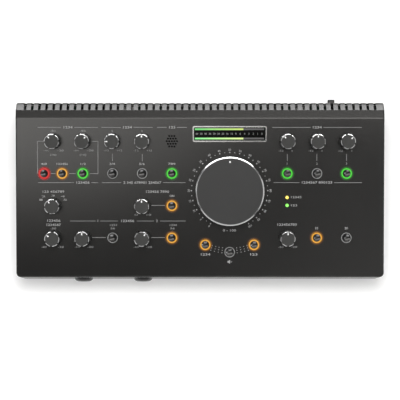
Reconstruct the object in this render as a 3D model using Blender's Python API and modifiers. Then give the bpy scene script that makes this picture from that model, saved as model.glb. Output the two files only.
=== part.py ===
"""Studio monitor controller: a desktop wedge with dials, lit buttons and a rear panel of sockets.

Units are metres. X runs across the front, Y from the front to the rear and Z up. The origin lies
under the middle of the whole part, on the surface that the feet stand on.
"""

import math

import bmesh
import bpy
from mathutils import Matrix, Vector

# Housing
BODY_WIDTH = 0.333
BODY_DEPTH = 0.158
FOOT_HEIGHT = 0.006
FRONT_WALL_HEIGHT = 0.048
PANEL_SLOPE = math.radians(7.3)
CHAMFER_SLOPE = math.radians(45.0)
CHAMFER_DROP = 0.0056
LEDGE_RUN = 0.0073
REAR_BEND_RADIUS = 0.008
LEDGE_BEND_RADIUS = 0.016
FRONT_CORNER_RADIUS = 0.004
FOLD_RADIUS = 0.0012
SHEET = 0.0012
REAR_FLANGE_HEIGHT = 0.011
SIDE_RETURN = 0.002
REAR_PANEL_LAP = 0.0037
FIT_GAP = 0.0003
CUT_OVERRUN = 0.002
FOLD_ANGLE = math.radians(60.0)
FOLD_STEPS = 2
REAR_BEND_STEPS = 2
LEDGE_BEND_STEPS = 1
FRONT_CORNER_STEPS = 4
ROUND_PROFILE = 0.5

# Vent slots over the rear edge
SLOT_COUNT = 50
SLOT_PITCH = 0.00645
SLOT_WIDTH = 0.0024
SLOT_LENGTH = 0.017
SLOT_END_STEPS = 3

# Control grid: columns as shares of half the width, rows as shares of the sloping panel's length
LEFT_COLUMN_SHARE = 0.7965
RIGHT_COLUMN_SHARE = 0.7946
COLUMN_PITCH_SHARE = 0.1609
MIDDLE_SHARE = 0.1607
FIRST_ROW_SHARE = 0.1448
ROW_PITCH_SHARE = 0.2022
VOLUME_SHARE = 0.4551
METER_SHARE = 0.0994
CLUSTER_SHARE = 0.7955
MUTE_SHARE = 0.8421
POWER_LED_SHARE = 0.4985
TALK_LED_SHARE = 0.5482
CLUSTER_SPREAD = 0.022
PAIR_SPREAD = 0.0081

# Small knobs
KNOB_RADIUS = 0.00715
KNOB_TOP_RADIUS = 0.0067
KNOB_HEIGHT = 0.019
KNOB_CHAMFER = 0.0008
KNOB_STAND_OFF = 0.0008
FLUTE_DEPTH = 0.0009
FLUTE_COUNT = 6
FLUTE_HALF_ANGLE = math.radians(10.0)
FLUTE_FLOOR_HALF_ANGLE = math.radians(4.0)
SHAFT_RADIUS = 0.003
SHAFT_DEPTH = 0.0065
SHAFT_SIDES = 8

# Volume knob
VOLUME_RADIUS = 0.0309
VOLUME_HEIGHT = 0.018
VOLUME_CHAMFER = 0.0015
VOLUME_SIDES = 48

# Lit push buttons
BUTTON_RADIUS = 0.0047
BUTTON_CAP_RADIUS = 0.0034
BUTTON_HEIGHT = 0.0021
BUTTON_RING_HEIGHT = 0.0012
BUTTON_DISH = 0.0005
BUTTON_DEPTH = 0.004
BUTTON_TRAVEL = 0.0012
BUTTON_SIDES = 12

# Board behind the panel
CONTROL_BOARD_DEPTH = 0.0115
BOARD_THICKNESS = 0.0016
CONTROL_BOARD_MARGIN = 0.0175
CONTROL_BOARD_REAR_INSET = 0.008
CONTROL_BOARD_FRONT_INSET = 0.0129
BUSHING_RADIUS = 0.0044
SWITCH_SIZE = 0.006
SOLDER_SINK = 0.0005

# Level meter
METER_WIDTH = 0.067
METER_LENGTH = 0.0144
BEZEL_BORDER = 0.0012
BEZEL_HEIGHT = 0.001
BEZEL_CORNER = 0.0014
BEZEL_CORNER_STEPS = 3
WINDOW_DEPTH = 0.007
WINDOW_HEIGHT = 0.0006

# Talkback microphone and its grille
GRILLE_ROWS = (3, 4, 5, 4, 3)
GRILLE_PITCH = 0.00235
GRILLE_HOLE_RADIUS = 0.00072
GRILLE_SIDES = 6
CAPSULE_RADIUS = 0.0065
CAPSULE_DEPTH = 0.006
CAPSULE_SIDES = 16

# Indicator lamps
LAMP_RADIUS = 0.0014
LAMP_HEIGHT = 0.0008
LAMP_DOME_ANGLE = math.radians(30.0)

# Base, boards and feet
FLANGE_HEIGHT = 0.01
FLANGE_CORNER_STEPS = 3
STANDOFF_RADIUS = 0.003
STANDOFF_HEIGHT = 0.006
STANDOFF_INSET = 0.02
STANDOFF_SIDES = 8
MAIN_BOARD_SIDE_GAP = 0.0048
MAIN_BOARD_LENGTH = 0.105
FOOT_RADIUS = 0.0075
FOOT_TAPER = 0.001
FOOT_SIDES = 16
FOOT_INSET_SIDE = 0.022
FOOT_INSET_END = 0.02

# Plug sockets
BORE_RADIUS = 0.0033
BORE_DEPTH = 0.027
SOCKET_SIDES = 12
NOSE_RADIUS = 0.0052
SOCKET_REACH = 0.0021
JACK_PAIR_WIDTH = 0.0145
JACK_PAIR_HEIGHT = 0.032
JACK_PAIR_DEPTH = 0.029
JACK_SPACING = 0.016

# Phones sockets on the front wall
PHONES_HEIGHT = 0.03
COLLAR_REACH = 0.0031
COLLAR_RADIUS = 0.0085
COLLAR_FACE_RADIUS = 0.0053
COLLAR_SHOULDER_RADIUS = 0.0072
COLLAR_SHOULDER_REACH = 0.0022
PHONES_NOSE_RADIUS = 0.0058
PHONES_BLOCK_WIDTH = 0.015
PHONES_BLOCK_HEIGHT = 0.014
PHONES_BLOCK_DEPTH = 0.027
COLLAR_SIDES = 16

# Combination microphone sockets
COMBO_NAMES = ("mic_1_socket", "mic_2_socket")
COMBO_HEIGHT = 0.031
COMBO_RADIUS = 0.0115
COMBO_FLANGE_WIDTH = 0.026
COMBO_FLANGE_HEIGHT = 0.03
COMBO_FLANGE_THICKNESS = 0.0015
COMBO_DEPTH = 0.026
COMBO_RECESS_RADIUS = 0.0092
COMBO_RECESS_DEPTH = 0.0025
COMBO_BORE_DEPTH = 0.0246
COMBO_FOOT_WIDTH = 0.018
COMBO_FOOT_DEPTH = 0.014
COMBO_SIDES = 20

# Power, data and digital sockets
USB_WIDTH = 0.012
USB_HEIGHT = 0.0112
USB_DEPTH = 0.0165
USB_WALL = 0.0015
USB_TONGUE_WIDTH = 0.0052
USB_TONGUE_HEIGHT = 0.0032
USB_CAVITY_DEPTH = 0.009
INLET_WIDTH = 0.0105
INLET_HEIGHT = 0.0125
INLET_DEPTH = 0.014
INLET_NOSE_RADIUS = 0.0043
INLET_BORE_RADIUS = 0.0031
INLET_PIN_RADIUS = 0.001
INLET_BORE_DEPTH = 0.009
PIN_SIDES = 8
COAX_WIDTH = 0.011
COAX_HEIGHT = 0.014
COAX_DEPTH = 0.01
COAX_NOSE_RADIUS = 0.0041
COAX_BORE_RADIUS = 0.0016
COAX_REACH = 0.004
OPTICAL_WIDTH = 0.0098
OPTICAL_HEIGHT = 0.0105
OPTICAL_DEPTH = 0.0135
OPTICAL_DOOR_SIZE = 0.0066
OPTICAL_DOOR_DEPTH = 0.0012

# Power button and its switch
POWER_HEIGHT = 0.042
POWER_SIZE = 0.0064
POWER_ROUNDING = 0.0009
POWER_ROUNDING_STEPS = 2
POWER_REACH = 0.0052
POWER_DEPTH = 0.006
POWER_TRAVEL = 0.003
POWER_SWITCH_WIDTH = 0.009
POWER_SWITCH_DEPTH = 0.016

# Small knobs: name, column, row and the angle that the pointer shows, clockwise from the rear
SMALL_KNOBS = (
    ("gain_1_knob", 0, 0, -36),
    ("gain_2_knob", 1, 0, 39),
    ("trim_3_knob", 2, 0, -90),
    ("trim_4_knob", 3, 0, 0),
    ("trim_a_knob", 5, 0, -35),
    ("trim_b_knob", 6, 0, 0),
    ("trim_c_knob", 7, 0, 48),
    ("cue_source_knob", 0, 2, -34),
    ("studio_out_knob", 3, 2, 0),
    ("direct_monitor_knob", 0, 3, -53),
    ("phones_1_knob", 1, 3, 0),
    ("phones_2_knob", 3, 3, 34),
    ("talkback_knob", 5, 3, 0),
)
# Buttons on the grid: name, column, row and side of the column
GRID_BUTTONS = (
    ("phantom_button", 0, 1, -1),
    ("low_cut_button", 0, 1, 1),
    ("channel_2_button", 1, 1, 0),
    ("source_3_button", 2, 1, 0),
    ("source_4_button", 3, 1, 0),
    ("computer_button", 4, 1, 0),
    ("speaker_a_button", 5, 1, 0),
    ("speaker_b_button", 6, 1, 0),
    ("speaker_c_button", 7, 1, 0),
    ("studio_on_button", 4, 2, 0),
    ("phones_1_button", 2, 3, 0),
    ("phones_2_button", 4, 3, 0),
    ("talk_phones_button", 6, 3, 0),
    ("talk_studio_button", 7, 3, 0),
)
# Phones sockets: name and place across, as a share of half the width
PHONES_SOCKET_SHARES = (("phones_1_socket", -0.6414), ("phones_2_socket", -0.3141))
# Rear fittings from the left: name, width and the share of the free width that lies before it
REAR_FITTING_SHARES = (
    ("mic_2_socket", COMBO_FLANGE_WIDTH, 0.117),
    ("mic_1_socket", COMBO_FLANGE_WIDTH, 0.063),
    ("optical_socket", OPTICAL_WIDTH, 0.011),
    ("coax_socket", COAX_WIDTH, 0.022),
    ("two_track_2_jacks", JACK_PAIR_WIDTH, 0.063),
    ("two_track_1_jacks", JACK_PAIR_WIDTH, 0.059),
    ("studio_out_jacks", JACK_PAIR_WIDTH, 0.059),
    ("speaker_c_jacks", JACK_PAIR_WIDTH, 0.059),
    ("speaker_b_jacks", JACK_PAIR_WIDTH, 0.059),
    ("speaker_a_jacks", JACK_PAIR_WIDTH, 0.059),
    ("usb_socket", USB_WIDTH, 0.081),
    ("power_button", POWER_SWITCH_WIDTH, 0.14),
    ("power_inlet", INLET_WIDTH, 0.0995),
)
LAST_COLUMN = 7
LEFT_COLUMNS = 5

# Heights and depths worked out from the sizes above
HALF_WIDTH = BODY_WIDTH / 2
FRONT_Y = -(BODY_DEPTH + POWER_REACH - COLLAR_REACH) / 2
REAR_Y = FRONT_Y + BODY_DEPTH
BASE_Z = FOOT_HEIGHT + FIT_GAP
FRONT_TOP_Z = BASE_Z + FRONT_WALL_HEIGHT
REAR_BEND_RUN = REAR_BEND_RADIUS * (1 - math.sin(CHAMFER_SLOPE))
REAR_BEND_DROP = REAR_BEND_RADIUS * math.cos(CHAMFER_SLOPE)
CHAMFER_RUN = CHAMFER_DROP / math.tan(CHAMFER_SLOPE)
CREASE_Y = REAR_Y - REAR_BEND_RUN - CHAMFER_RUN
BEND_Y = CREASE_Y - LEDGE_RUN
LEDGE_Z = FRONT_TOP_Z + (BEND_Y - FRONT_Y) * math.tan(PANEL_SLOPE)
PANEL_LENGTH = (BEND_Y - FRONT_Y) / math.cos(PANEL_SLOPE)
MIDDLE_SECTION = MIDDLE_SHARE * HALF_WIDTH
COLUMN_PITCH = COLUMN_PITCH_SHARE * HALF_WIDTH
VOLUME_ALONG = VOLUME_SHARE * PANEL_LENGTH
METER_ALONG = METER_SHARE * PANEL_LENGTH
POWER_LED_ALONG = POWER_LED_SHARE * PANEL_LENGTH
TALK_LED_ALONG = TALK_LED_SHARE * PANEL_LENGTH
REAR_WALL_TOP_Z = LEDGE_Z - CHAMFER_DROP - REAR_BEND_DROP
REAR_WINDOW_TOP_Z = REAR_WALL_TOP_Z - REAR_FLANGE_HEIGHT
BASE_TOP_Z = BASE_Z + SHEET
MAIN_BOARD_Z = BASE_TOP_Z + STANDOFF_HEIGHT + FIT_GAP
SOCKET_FLOOR_Z = MAIN_BOARD_Z + BOARD_THICKNESS + FIT_GAP
REAR_PANEL_Y = REAR_Y - SHEET - FIT_GAP
REAR_HALF_WIDTH = HALF_WIDTH - 2 * (SHEET + FIT_GAP)
MAIN_BOARD_HALF_WIDTH = HALF_WIDTH - 2 * SHEET - FIT_GAP - MAIN_BOARD_SIDE_GAP
SOCKET_BACK_Y = REAR_PANEL_Y - SHEET - FIT_GAP
SWITCH_TOP = -(BUTTON_DEPTH + BUTTON_TRAVEL + FIT_GAP)
LEFT, RIGHT = -1, 1
MERGE_DISTANCE = 0.00001
FLAT_ANGLE = math.radians(0.2)
SHARP_ANGLE = math.radians(35.0)
QUARTER_TURN = math.pi / 2
FULL_TURN = 2 * math.pi


def column_x(column):
    """Gives the place across of a grid column, counted from the left."""
    if column < LEFT_COLUMNS:
        return -LEFT_COLUMN_SHARE * HALF_WIDTH + column * COLUMN_PITCH
    return RIGHT_COLUMN_SHARE * HALF_WIDTH - (LAST_COLUMN - column) * COLUMN_PITCH


def row_along(row):
    """Gives the distance of a grid row from the rear bend, down the slope."""
    return (FIRST_ROW_SHARE + row * ROW_PITCH_SHARE) * PANEL_LENGTH


def button_places():
    """Gives each button's name with its place across and along the panel."""
    places = {}
    for name, column, row, side in GRID_BUTTONS:
        places[name] = (column_x(column) + side * PAIR_SPREAD, row_along(row))
    places["mono_button"] = (MIDDLE_SECTION - CLUSTER_SPREAD, CLUSTER_SHARE * PANEL_LENGTH)
    places["mute_button"] = (MIDDLE_SECTION, MUTE_SHARE * PANEL_LENGTH)
    places["dim_button"] = (MIDDLE_SECTION + CLUSTER_SPREAD, CLUSTER_SHARE * PANEL_LENGTH)
    return places


def knob_places():
    """Gives each knob's place across and along the panel, the volume knob's last."""
    places = [(column_x(column), row_along(row)) for _, column, row, _ in SMALL_KNOBS]
    return places + [(MIDDLE_SECTION, VOLUME_ALONG)]


def rear_places():
    """Gives each rear fitting's place across, with the free width of the socket panel shared out."""
    free = 2 * REAR_HALF_WIDTH - sum(width for _, width, _ in REAR_FITTING_SHARES)
    places = {}
    edge = -REAR_HALF_WIDTH
    for name, width, gap_share in REAR_FITTING_SHARES:
        places[name] = edge + free * gap_share + width / 2
        edge = places[name] + width / 2
    return places


def clear_scene():
    """Removes what the scene holds before the model is made."""
    for item in list(bpy.data.objects):
        bpy.data.objects.remove(item, do_unlink=True)


def new_collection(name):
    """Makes a collection in the scene."""
    collection = bpy.data.collections.new(name)
    bpy.context.scene.collection.children.link(collection)
    return collection


def principled(name, colour, roughness, metallic=0.0):
    """Makes a material with a colour, a roughness and a metallic value."""
    material = bpy.data.materials.new(name)
    material.use_nodes = True
    shader = material.node_tree.nodes["Principled BSDF"]
    shader.inputs["Base Color"].default_value = (*colour, 1.0)
    shader.inputs["Roughness"].default_value = roughness
    shader.inputs["Metallic"].default_value = metallic
    return material


def mesh_from(name, bm):
    """Turns a working mesh into mesh data with smooth round faces and sharp edges."""
    mesh = bpy.data.meshes.new(name)
    bm.to_mesh(mesh)
    bm.free()
    mesh.shade_smooth()
    mesh.set_sharp_from_angle(angle=SHARP_ANGLE)
    return mesh


def add_part(name, mesh, material, parent=None, location=(0, 0, 0), rotation=(0, 0, 0)):
    """Places a named piece of the product with its own material."""
    part = bpy.data.objects.new(name, mesh)
    PARTS.objects.link(part)
    part.parent = parent
    part.location = location
    part.rotation_euler = rotation
    part.data.materials.clear()
    part.data.materials.append(material)
    return part


def add_guide(name, mesh, parent=None, location=(0, 0, 0), rotation=(0, 0, 0)):
    """Places a hidden solid that cuts or joins another."""
    guide = bpy.data.objects.new(name, mesh)
    GUIDES.objects.link(guide)
    guide.parent = parent
    guide.location = location
    guide.rotation_euler = rotation
    guide.hide_render = True
    guide.display_type = "WIRE"
    return guide


def combine(part, guide, operation):
    """Cuts a piece with a guide, or joins the guide to it."""
    modifier = part.modifiers.new(guide.name, "BOOLEAN")
    modifier.operation = operation
    modifier.solver = "EXACT"
    modifier.object = guide


def add_box(bm, low, high):
    """Adds a box between two corners to a working mesh."""
    low, high = Vector(low), Vector(high)
    place = Matrix.Translation((low + high) / 2) @ Matrix.Diagonal((*(high - low), 1))
    bmesh.ops.create_cube(bm, size=1.0, matrix=place)


def add_rod(bm, radius, bottom, top, sides, place=(0, 0), turn=None):
    """Adds a round rod between two heights, turned afterwards where a turn is given."""
    centre = Matrix.Translation((place[0], place[1], (bottom + top) / 2))
    matrix = turn @ centre if turn else centre
    bmesh.ops.create_cone(
        bm, cap_ends=True, segments=sides, radius1=radius, radius2=radius, depth=top - bottom,
        matrix=matrix,
    )


def box_mesh(name, low, high):
    """Makes the mesh of one box."""
    bm = bmesh.new()
    add_box(bm, low, high)
    return mesh_from(name, bm)


def evaluated_mesh(item):
    """Gives the mesh of an object as its modifiers leave it."""
    graph = bpy.context.evaluated_depsgraph_get()
    return bpy.data.meshes.new_from_object(item.evaluated_get(graph))


def prism_mesh(name, outlines, thickness, matrix=None):
    """Extrudes closed flat outlines, where an inner one leaves a hole, about their plane."""
    curve = bpy.data.curves.new(name, "CURVE")
    curve.dimensions = "2D"
    curve.fill_mode = "BOTH"
    curve.extrude = thickness / 2
    for outline in outlines:
        spline = curve.splines.new("POLY")
        spline.points.add(len(outline) - 1)
        for point, (x, y) in zip(spline.points, outline):
            point.co = (x, y, 0, 1)
        spline.use_cyclic_u = True
    item = bpy.data.objects.new(name, curve)
    bpy.context.scene.collection.objects.link(item)
    mesh = evaluated_mesh(item)
    bpy.data.objects.remove(item, do_unlink=True)
    bm = bmesh.new()
    bm.from_mesh(mesh)
    bmesh.ops.remove_doubles(bm, verts=bm.verts, dist=MERGE_DISTANCE)
    bmesh.ops.dissolve_limit(bm, angle_limit=FLAT_ANGLE, verts=bm.verts, edges=bm.edges)
    bmesh.ops.recalc_face_normals(bm, faces=bm.faces)
    if matrix:
        bm.transform(matrix)
    return mesh_from(name, bm)


def turned_part(name, profile, steps, material, **placing):
    """Turns a profile, given from its top centre down the outer side, about the Z axis."""
    mesh = bpy.data.meshes.new(name)
    edges = [(index, index + 1) for index in range(len(profile) - 1)]
    mesh.from_pydata([(radius, 0, height) for radius, height in profile], edges, [])
    part = add_part(name, mesh, material, **placing)
    screw = part.modifiers.new("turning", "SCREW")
    screw.axis = "Z"
    screw.angle = FULL_TURN
    screw.steps = steps
    screw.render_steps = steps
    screw.use_merge_vertices = True
    screw.merge_threshold = MERGE_DISTANCE
    screw.use_smooth_shade = False
    return part


def corner_arc(before, corner, after, radius, steps):
    """Gives the points of the arc that rounds one corner of an outline."""
    corner = Vector(corner)
    inward = (Vector(before) - corner).normalized()
    outward = (Vector(after) - corner).normalized()
    half_angle = inward.angle(outward) / 2
    start = corner + inward * radius / math.tan(half_angle)
    centre = corner + (inward + outward).normalized() * radius / math.sin(half_angle)
    arm = start - centre
    sweep = (math.pi - 2 * half_angle) * (1 if inward.x * outward.y > inward.y * outward.x else -1)
    turns = [-sweep * step / steps for step in range(steps + 1)]
    return [centre + Matrix.Rotation(turn, 2) @ arm for turn in turns]


def rounded_outline(corners):
    """Joins corners, each a place with a radius and a count of steps, into one closed outline."""
    outline = []
    for index, (place, radius, steps) in enumerate(corners):
        if radius == 0:
            outline.append(Vector(place))
            continue
        before = corners[index - 1][0]
        after = corners[(index + 1) % len(corners)][0]
        outline.extend(corner_arc(before, place, after, radius, steps))
    return outline


def rounded_rectangle(width, length, radius, steps):
    """Gives a rectangle about the origin with rounded corners."""
    x, y = width / 2, length / 2
    places = ((-x, -y), (x, -y), (x, y), (-x, y))
    return rounded_outline([(place, radius, steps) for place in places])


def slot_outline(centre_x, width, length, steps):
    """Gives a long slot with round ends, lengthwise on Y from zero."""
    radius = width / 2
    outline = []
    for end_y, start in ((length - radius, 0.0), (radius, math.pi)):
        for step in range(steps + 1):
            angle = start + math.pi * step / steps
            outline.append((centre_x + radius * math.cos(angle), end_y + radius * math.sin(angle)))
    return outline


def side_profile():
    """Gives the housing's outline seen from the side, as places along Y and Z."""
    wall_corner_z = REAR_WALL_TOP_Z + REAR_BEND_RADIUS * math.tan(CHAMFER_SLOPE / 2)
    corners = [
        ((FRONT_Y, BASE_Z), 0, 0),
        ((REAR_Y, BASE_Z), 0, 0),
        ((REAR_Y, wall_corner_z), REAR_BEND_RADIUS, REAR_BEND_STEPS),
        ((CREASE_Y, LEDGE_Z), 0, 0),
        ((BEND_Y, LEDGE_Z), LEDGE_BEND_RADIUS, LEDGE_BEND_STEPS),
        ((FRONT_Y, FRONT_TOP_Z), 0, 0),
    ]
    return rounded_outline(corners)


def housing_block():
    """Makes the solid wedge: the side outline carried across, within the rounded plan."""
    across = Matrix(((0, 0, 1, 0), (1, 0, 0, 0), (0, 1, 0, 0), (0, 0, 0, 1)))
    side = prism_mesh("wedge", [side_profile()], BODY_WIDTH + CUT_OVERRUN, across)
    wedge = add_guide("wedge", side)
    plan_corners = [
        ((-HALF_WIDTH, FRONT_Y), FRONT_CORNER_RADIUS, FRONT_CORNER_STEPS),
        ((HALF_WIDTH, FRONT_Y), FRONT_CORNER_RADIUS, FRONT_CORNER_STEPS),
        ((HALF_WIDTH, REAR_Y + CUT_OVERRUN), 0, 0),
        ((-HALF_WIDTH, REAR_Y + CUT_OVERRUN), 0, 0),
    ]
    plan_height = 2 * (LEDGE_Z + CUT_OVERRUN)
    plan = add_guide("plan", prism_mesh("plan", [rounded_outline(plan_corners)], plan_height))
    combine(wedge, plan, "INTERSECT")
    return evaluated_mesh(wedge)


def is_fold(edge):
    """Tells whether an edge of the wedge is a fold between two faces and not a step of a bend."""
    return len(edge.link_faces) == 2 and edge.calc_face_angle() > FOLD_ANGLE


def shell_mesh():
    """Opens the wedge underneath and rounds its folds, ready for its wall to be thickened."""
    bm = bmesh.new()
    bm.from_mesh(housing_block())
    bmesh.ops.remove_doubles(bm, verts=bm.verts, dist=MERGE_DISTANCE)
    bmesh.ops.dissolve_limit(bm, angle_limit=FLAT_ANGLE, verts=bm.verts, edges=bm.edges)
    floor = [face for face in bm.faces if face.normal.z < -math.cos(FLAT_ANGLE)]
    bmesh.ops.delete(bm, geom=floor, context="FACES")
    folds = [edge for edge in bm.edges if is_fold(edge)]
    bmesh.ops.bevel(
        bm, geom=folds, offset=FOLD_RADIUS, offset_type="OFFSET", segments=FOLD_STEPS,
        profile=ROUND_PROFILE, affect="EDGES",
    )
    return mesh_from("top_cover", bm)


def slot_cutters():
    """Makes the cutters of the vent slots, square to the chamfer and lapping onto the rear wall."""
    centres = [(index - (SLOT_COUNT - 1) / 2) * SLOT_PITCH for index in range(SLOT_COUNT)]
    outlines = [slot_outline(x, SLOT_WIDTH, SLOT_LENGTH, SLOT_END_STEPS) for x in centres]
    wall_fall = SLOT_LENGTH * math.sin(CHAMFER_SLOPE)
    depth = wall_fall + CUT_OVERRUN
    shift = Matrix.Translation((0, 0, CUT_OVERRUN - depth / 2))
    mesh = prism_mesh("slot_cutters", outlines, depth, shift)
    return add_guide("slot_cutters", mesh, None, (0, CREASE_Y, LEDGE_Z), (-CHAMFER_SLOPE, 0, 0))


def grille_places():
    """Gives the places of the microphone grille's holes about its middle, in a hexagon."""
    places = []
    for row, count in enumerate(GRILLE_ROWS):
        for hole in range(count):
            across = (hole - (count - 1) / 2) * GRILLE_PITCH
            places.append((across, (row - (len(GRILLE_ROWS) - 1) / 2) * GRILLE_PITCH))
    return places


def panel_cutters(panel):
    """Makes the cutters of every hole in the sloping panel."""
    low, high = -(SHEET + CUT_OVERRUN), CUT_OVERRUN
    bm = bmesh.new()
    for x, along in knob_places():
        add_rod(bm, BUSHING_RADIUS + FIT_GAP, low, high, SHAFT_SIDES, (x, -along))
    for x, along in button_places().values():
        add_rod(bm, BUTTON_RADIUS + FIT_GAP, low, high, BUTTON_SIDES, (x, -along))
    for along in (POWER_LED_ALONG, TALK_LED_ALONG):
        place = (column_x(LEFT_COLUMNS), -along)
        add_rod(bm, LAMP_RADIUS + FIT_GAP, low, high, SHAFT_SIDES, place)
    grille_x, grille_along = column_x(LEFT_COLUMNS - 1), row_along(0)
    for across, down in grille_places():
        place = (grille_x + across, down - grille_along)
        add_rod(bm, GRILLE_HOLE_RADIUS, low, high, GRILLE_SIDES, place)
    half_width = METER_WIDTH / 2 - BEZEL_BORDER
    half_length = METER_LENGTH / 2 - BEZEL_BORDER
    add_box(
        bm,
        (MIDDLE_SECTION - half_width, -METER_ALONG - half_length, low),
        (MIDDLE_SECTION + half_width, -METER_ALONG + half_length, high),
    )
    return add_guide("panel_cutters", mesh_from("panel_cutters", bm), panel)


def wall_cutters():
    """Makes the cutters of the phones holes in front and of the open window at the rear."""
    bm = bmesh.new()
    radius = PHONES_NOSE_RADIUS + FIT_GAP
    for _, across_share in PHONES_SOCKET_SHARES:
        turn = Matrix.Translation((across_share * HALF_WIDTH, FRONT_Y, PHONES_HEIGHT)) @ FORWARD
        add_rod(bm, radius, -(SHEET + CUT_OVERRUN), CUT_OVERRUN, COLLAR_SIDES, turn=turn)
    window_x = HALF_WIDTH - SHEET - SIDE_RETURN
    window_y = REAR_Y - SHEET - CUT_OVERRUN
    add_box(
        bm,
        (-window_x, window_y, BASE_Z - CUT_OVERRUN),
        (window_x, REAR_Y + CUT_OVERRUN, REAR_WINDOW_TOP_Z),
    )
    return add_guide("wall_cutters", mesh_from("wall_cutters", bm))


def add_top_cover(panel):
    """Makes the folded steel cover: top, sides, front wall and the slotted rear edge."""
    cover = add_part("top_cover", shell_mesh(), MATERIALS["painted_steel"])
    thicken(cover, INWARD)
    combine(cover, wall_cutters(), "DIFFERENCE")
    combine(cover, slot_cutters(), "DIFFERENCE")
    combine(cover, panel_cutters(panel), "DIFFERENCE")


def folded_tray(name, half_width, front_y, rear_y, flange, corner, walls):
    """Makes an open sheet with walls turned up at the edges that the walls test picks."""
    bm = bmesh.new()
    centre = Matrix.Translation((0, (front_y + rear_y) / 2, 0))
    bmesh.ops.create_grid(bm, x_segments=1, y_segments=1, size=1.0)
    bm.transform(centre @ Matrix.Diagonal((half_width, (rear_y - front_y) / 2, 1, 1)))
    rim = [edge for edge in bm.edges if walls((edge.verts[0].co + edge.verts[1].co) / 2)]
    raised = bmesh.ops.extrude_edge_only(bm, edges=rim)["geom"]
    top = [item for item in raised if isinstance(item, bmesh.types.BMVert)]
    bmesh.ops.translate(bm, verts=top, vec=(0, 0, flange))
    if corner:
        upright = [edge for edge in bm.edges if edge.is_manifold and edge.verts[0].co.z != edge.verts[1].co.z]
        bmesh.ops.bevel(
            bm, geom=upright, offset=corner, segments=FLANGE_CORNER_STEPS, profile=ROUND_PROFILE,
            affect="EDGES",
        )
    bmesh.ops.recalc_face_normals(bm, faces=bm.faces)
    return mesh_from(name, bm)


def thicken(part, offset):
    """Gives an open sheet its wall."""
    wall = part.modifiers.new("sheet", "SOLIDIFY")
    wall.thickness = SHEET
    wall.offset = offset
    wall.use_even_offset = True


def add_base_pan():
    """Makes the base: a floor with low flanges inside the cover and standoffs for the main board."""
    half_width = HALF_WIDTH - SHEET - FIT_GAP
    front_y = FRONT_Y + SHEET + FIT_GAP
    corner = FRONT_CORNER_RADIUS - SHEET - FIT_GAP
    sheet = folded_tray(
        "base_pan", half_width, front_y, REAR_PANEL_Y, FLANGE_HEIGHT, corner,
        lambda middle: middle.y < REAR_PANEL_Y - MERGE_DISTANCE,
    )
    pan = add_part("base_pan", sheet, MATERIALS["zinc_steel"], location=(0, 0, BASE_Z))
    thicken(pan, INWARD)
    bm = bmesh.new()
    for x in (LEFT, 0, RIGHT):
        for y in board_hold_places():
            place = (x * (MAIN_BOARD_HALF_WIDTH - STANDOFF_INSET), y)
            bottom, top = BASE_TOP_Z - SOLDER_SINK, BASE_TOP_Z + STANDOFF_HEIGHT
            add_rod(bm, STANDOFF_RADIUS, bottom, top, STANDOFF_SIDES, place)
    combine(pan, add_guide("standoffs", mesh_from("standoffs", bm)), "UNION")


def board_hold_places():
    """Gives the places along Y where the main board rests on standoffs."""
    rear = SOCKET_BACK_Y - STANDOFF_INSET
    return rear, SOCKET_BACK_Y - MAIN_BOARD_LENGTH + STANDOFF_INSET


def add_feet():
    """Makes the four rubber feet, tapered towards the table."""
    profile = [(0, FOOT_HEIGHT), (FOOT_RADIUS, FOOT_HEIGHT), (FOOT_RADIUS - FOOT_TAPER, 0), (0, 0)]
    for end, y in (("front", FRONT_Y + FOOT_INSET_END), ("rear", REAR_Y - FOOT_INSET_END)):
        for side, across in (("left", LEFT), ("right", RIGHT)):
            place = (across * (HALF_WIDTH - FOOT_INSET_SIDE), y, 0)
            name = f"foot_{end}_{side}"
            turned_part(name, profile, FOOT_SIDES, MATERIALS["rubber"], location=place)


def add_main_board():
    """Makes the main circuit board with the power switch's body on it."""
    half = MAIN_BOARD_HALF_WIDTH
    mesh = box_mesh(
        "main_board",
        (-half, SOCKET_BACK_Y - MAIN_BOARD_LENGTH, MAIN_BOARD_Z),
        (half, SOCKET_BACK_Y, MAIN_BOARD_Z + BOARD_THICKNESS),
    )
    board = add_part("main_board", mesh, MATERIALS["circuit_board"])
    x = REAR_X["power_button"]
    switch_rear = REAR_Y - POWER_DEPTH - POWER_TRAVEL - FIT_GAP
    half_switch = POWER_SWITCH_WIDTH / 2
    switch = box_mesh(
        "power_switch",
        (x - half_switch, switch_rear - POWER_SWITCH_DEPTH, MAIN_BOARD_Z + SOLDER_SINK),
        (x + half_switch, switch_rear, POWER_HEIGHT + half_switch),
    )
    combine(board, add_guide("power_switch", switch), "UNION")


def add_control_board(panel):
    """Makes the board behind the panel, with its potentiometers and push switches."""
    top = -CONTROL_BOARD_DEPTH
    half = column_x(LAST_COLUMN) + CONTROL_BOARD_MARGIN
    low = (-half, CONTROL_BOARD_FRONT_INSET - PANEL_LENGTH, top - BOARD_THICKNESS)
    board = add_part(
        "control_board",
        box_mesh("control_board", low, (half, -CONTROL_BOARD_REAR_INSET, top)),
        MATERIALS["circuit_board"],
        parent=panel,
    )
    bm = bmesh.new()
    for x, along in knob_places():
        add_rod(bm, BUSHING_RADIUS, top - SOLDER_SINK, 0, SHAFT_SIDES, (x, -along))
    for x, along in button_places().values():
        half = SWITCH_SIZE / 2
        low = (x - half, -along - half, top - SOLDER_SINK)
        add_box(bm, low, (x + half, -along + half, SWITCH_TOP))
    combine(board, add_guide("board_components", mesh_from("board_components", bm), panel), "UNION")
    bores = bmesh.new()
    for x, along in knob_places():
        floor = -(SHAFT_DEPTH + FIT_GAP)
        add_rod(bores, SHAFT_RADIUS + FIT_GAP, floor, CUT_OVERRUN, SHAFT_SIDES, (x, -along))
    combine(board, add_guide("bushing_bores", mesh_from("bushing_bores", bores), panel), "DIFFERENCE")


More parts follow.
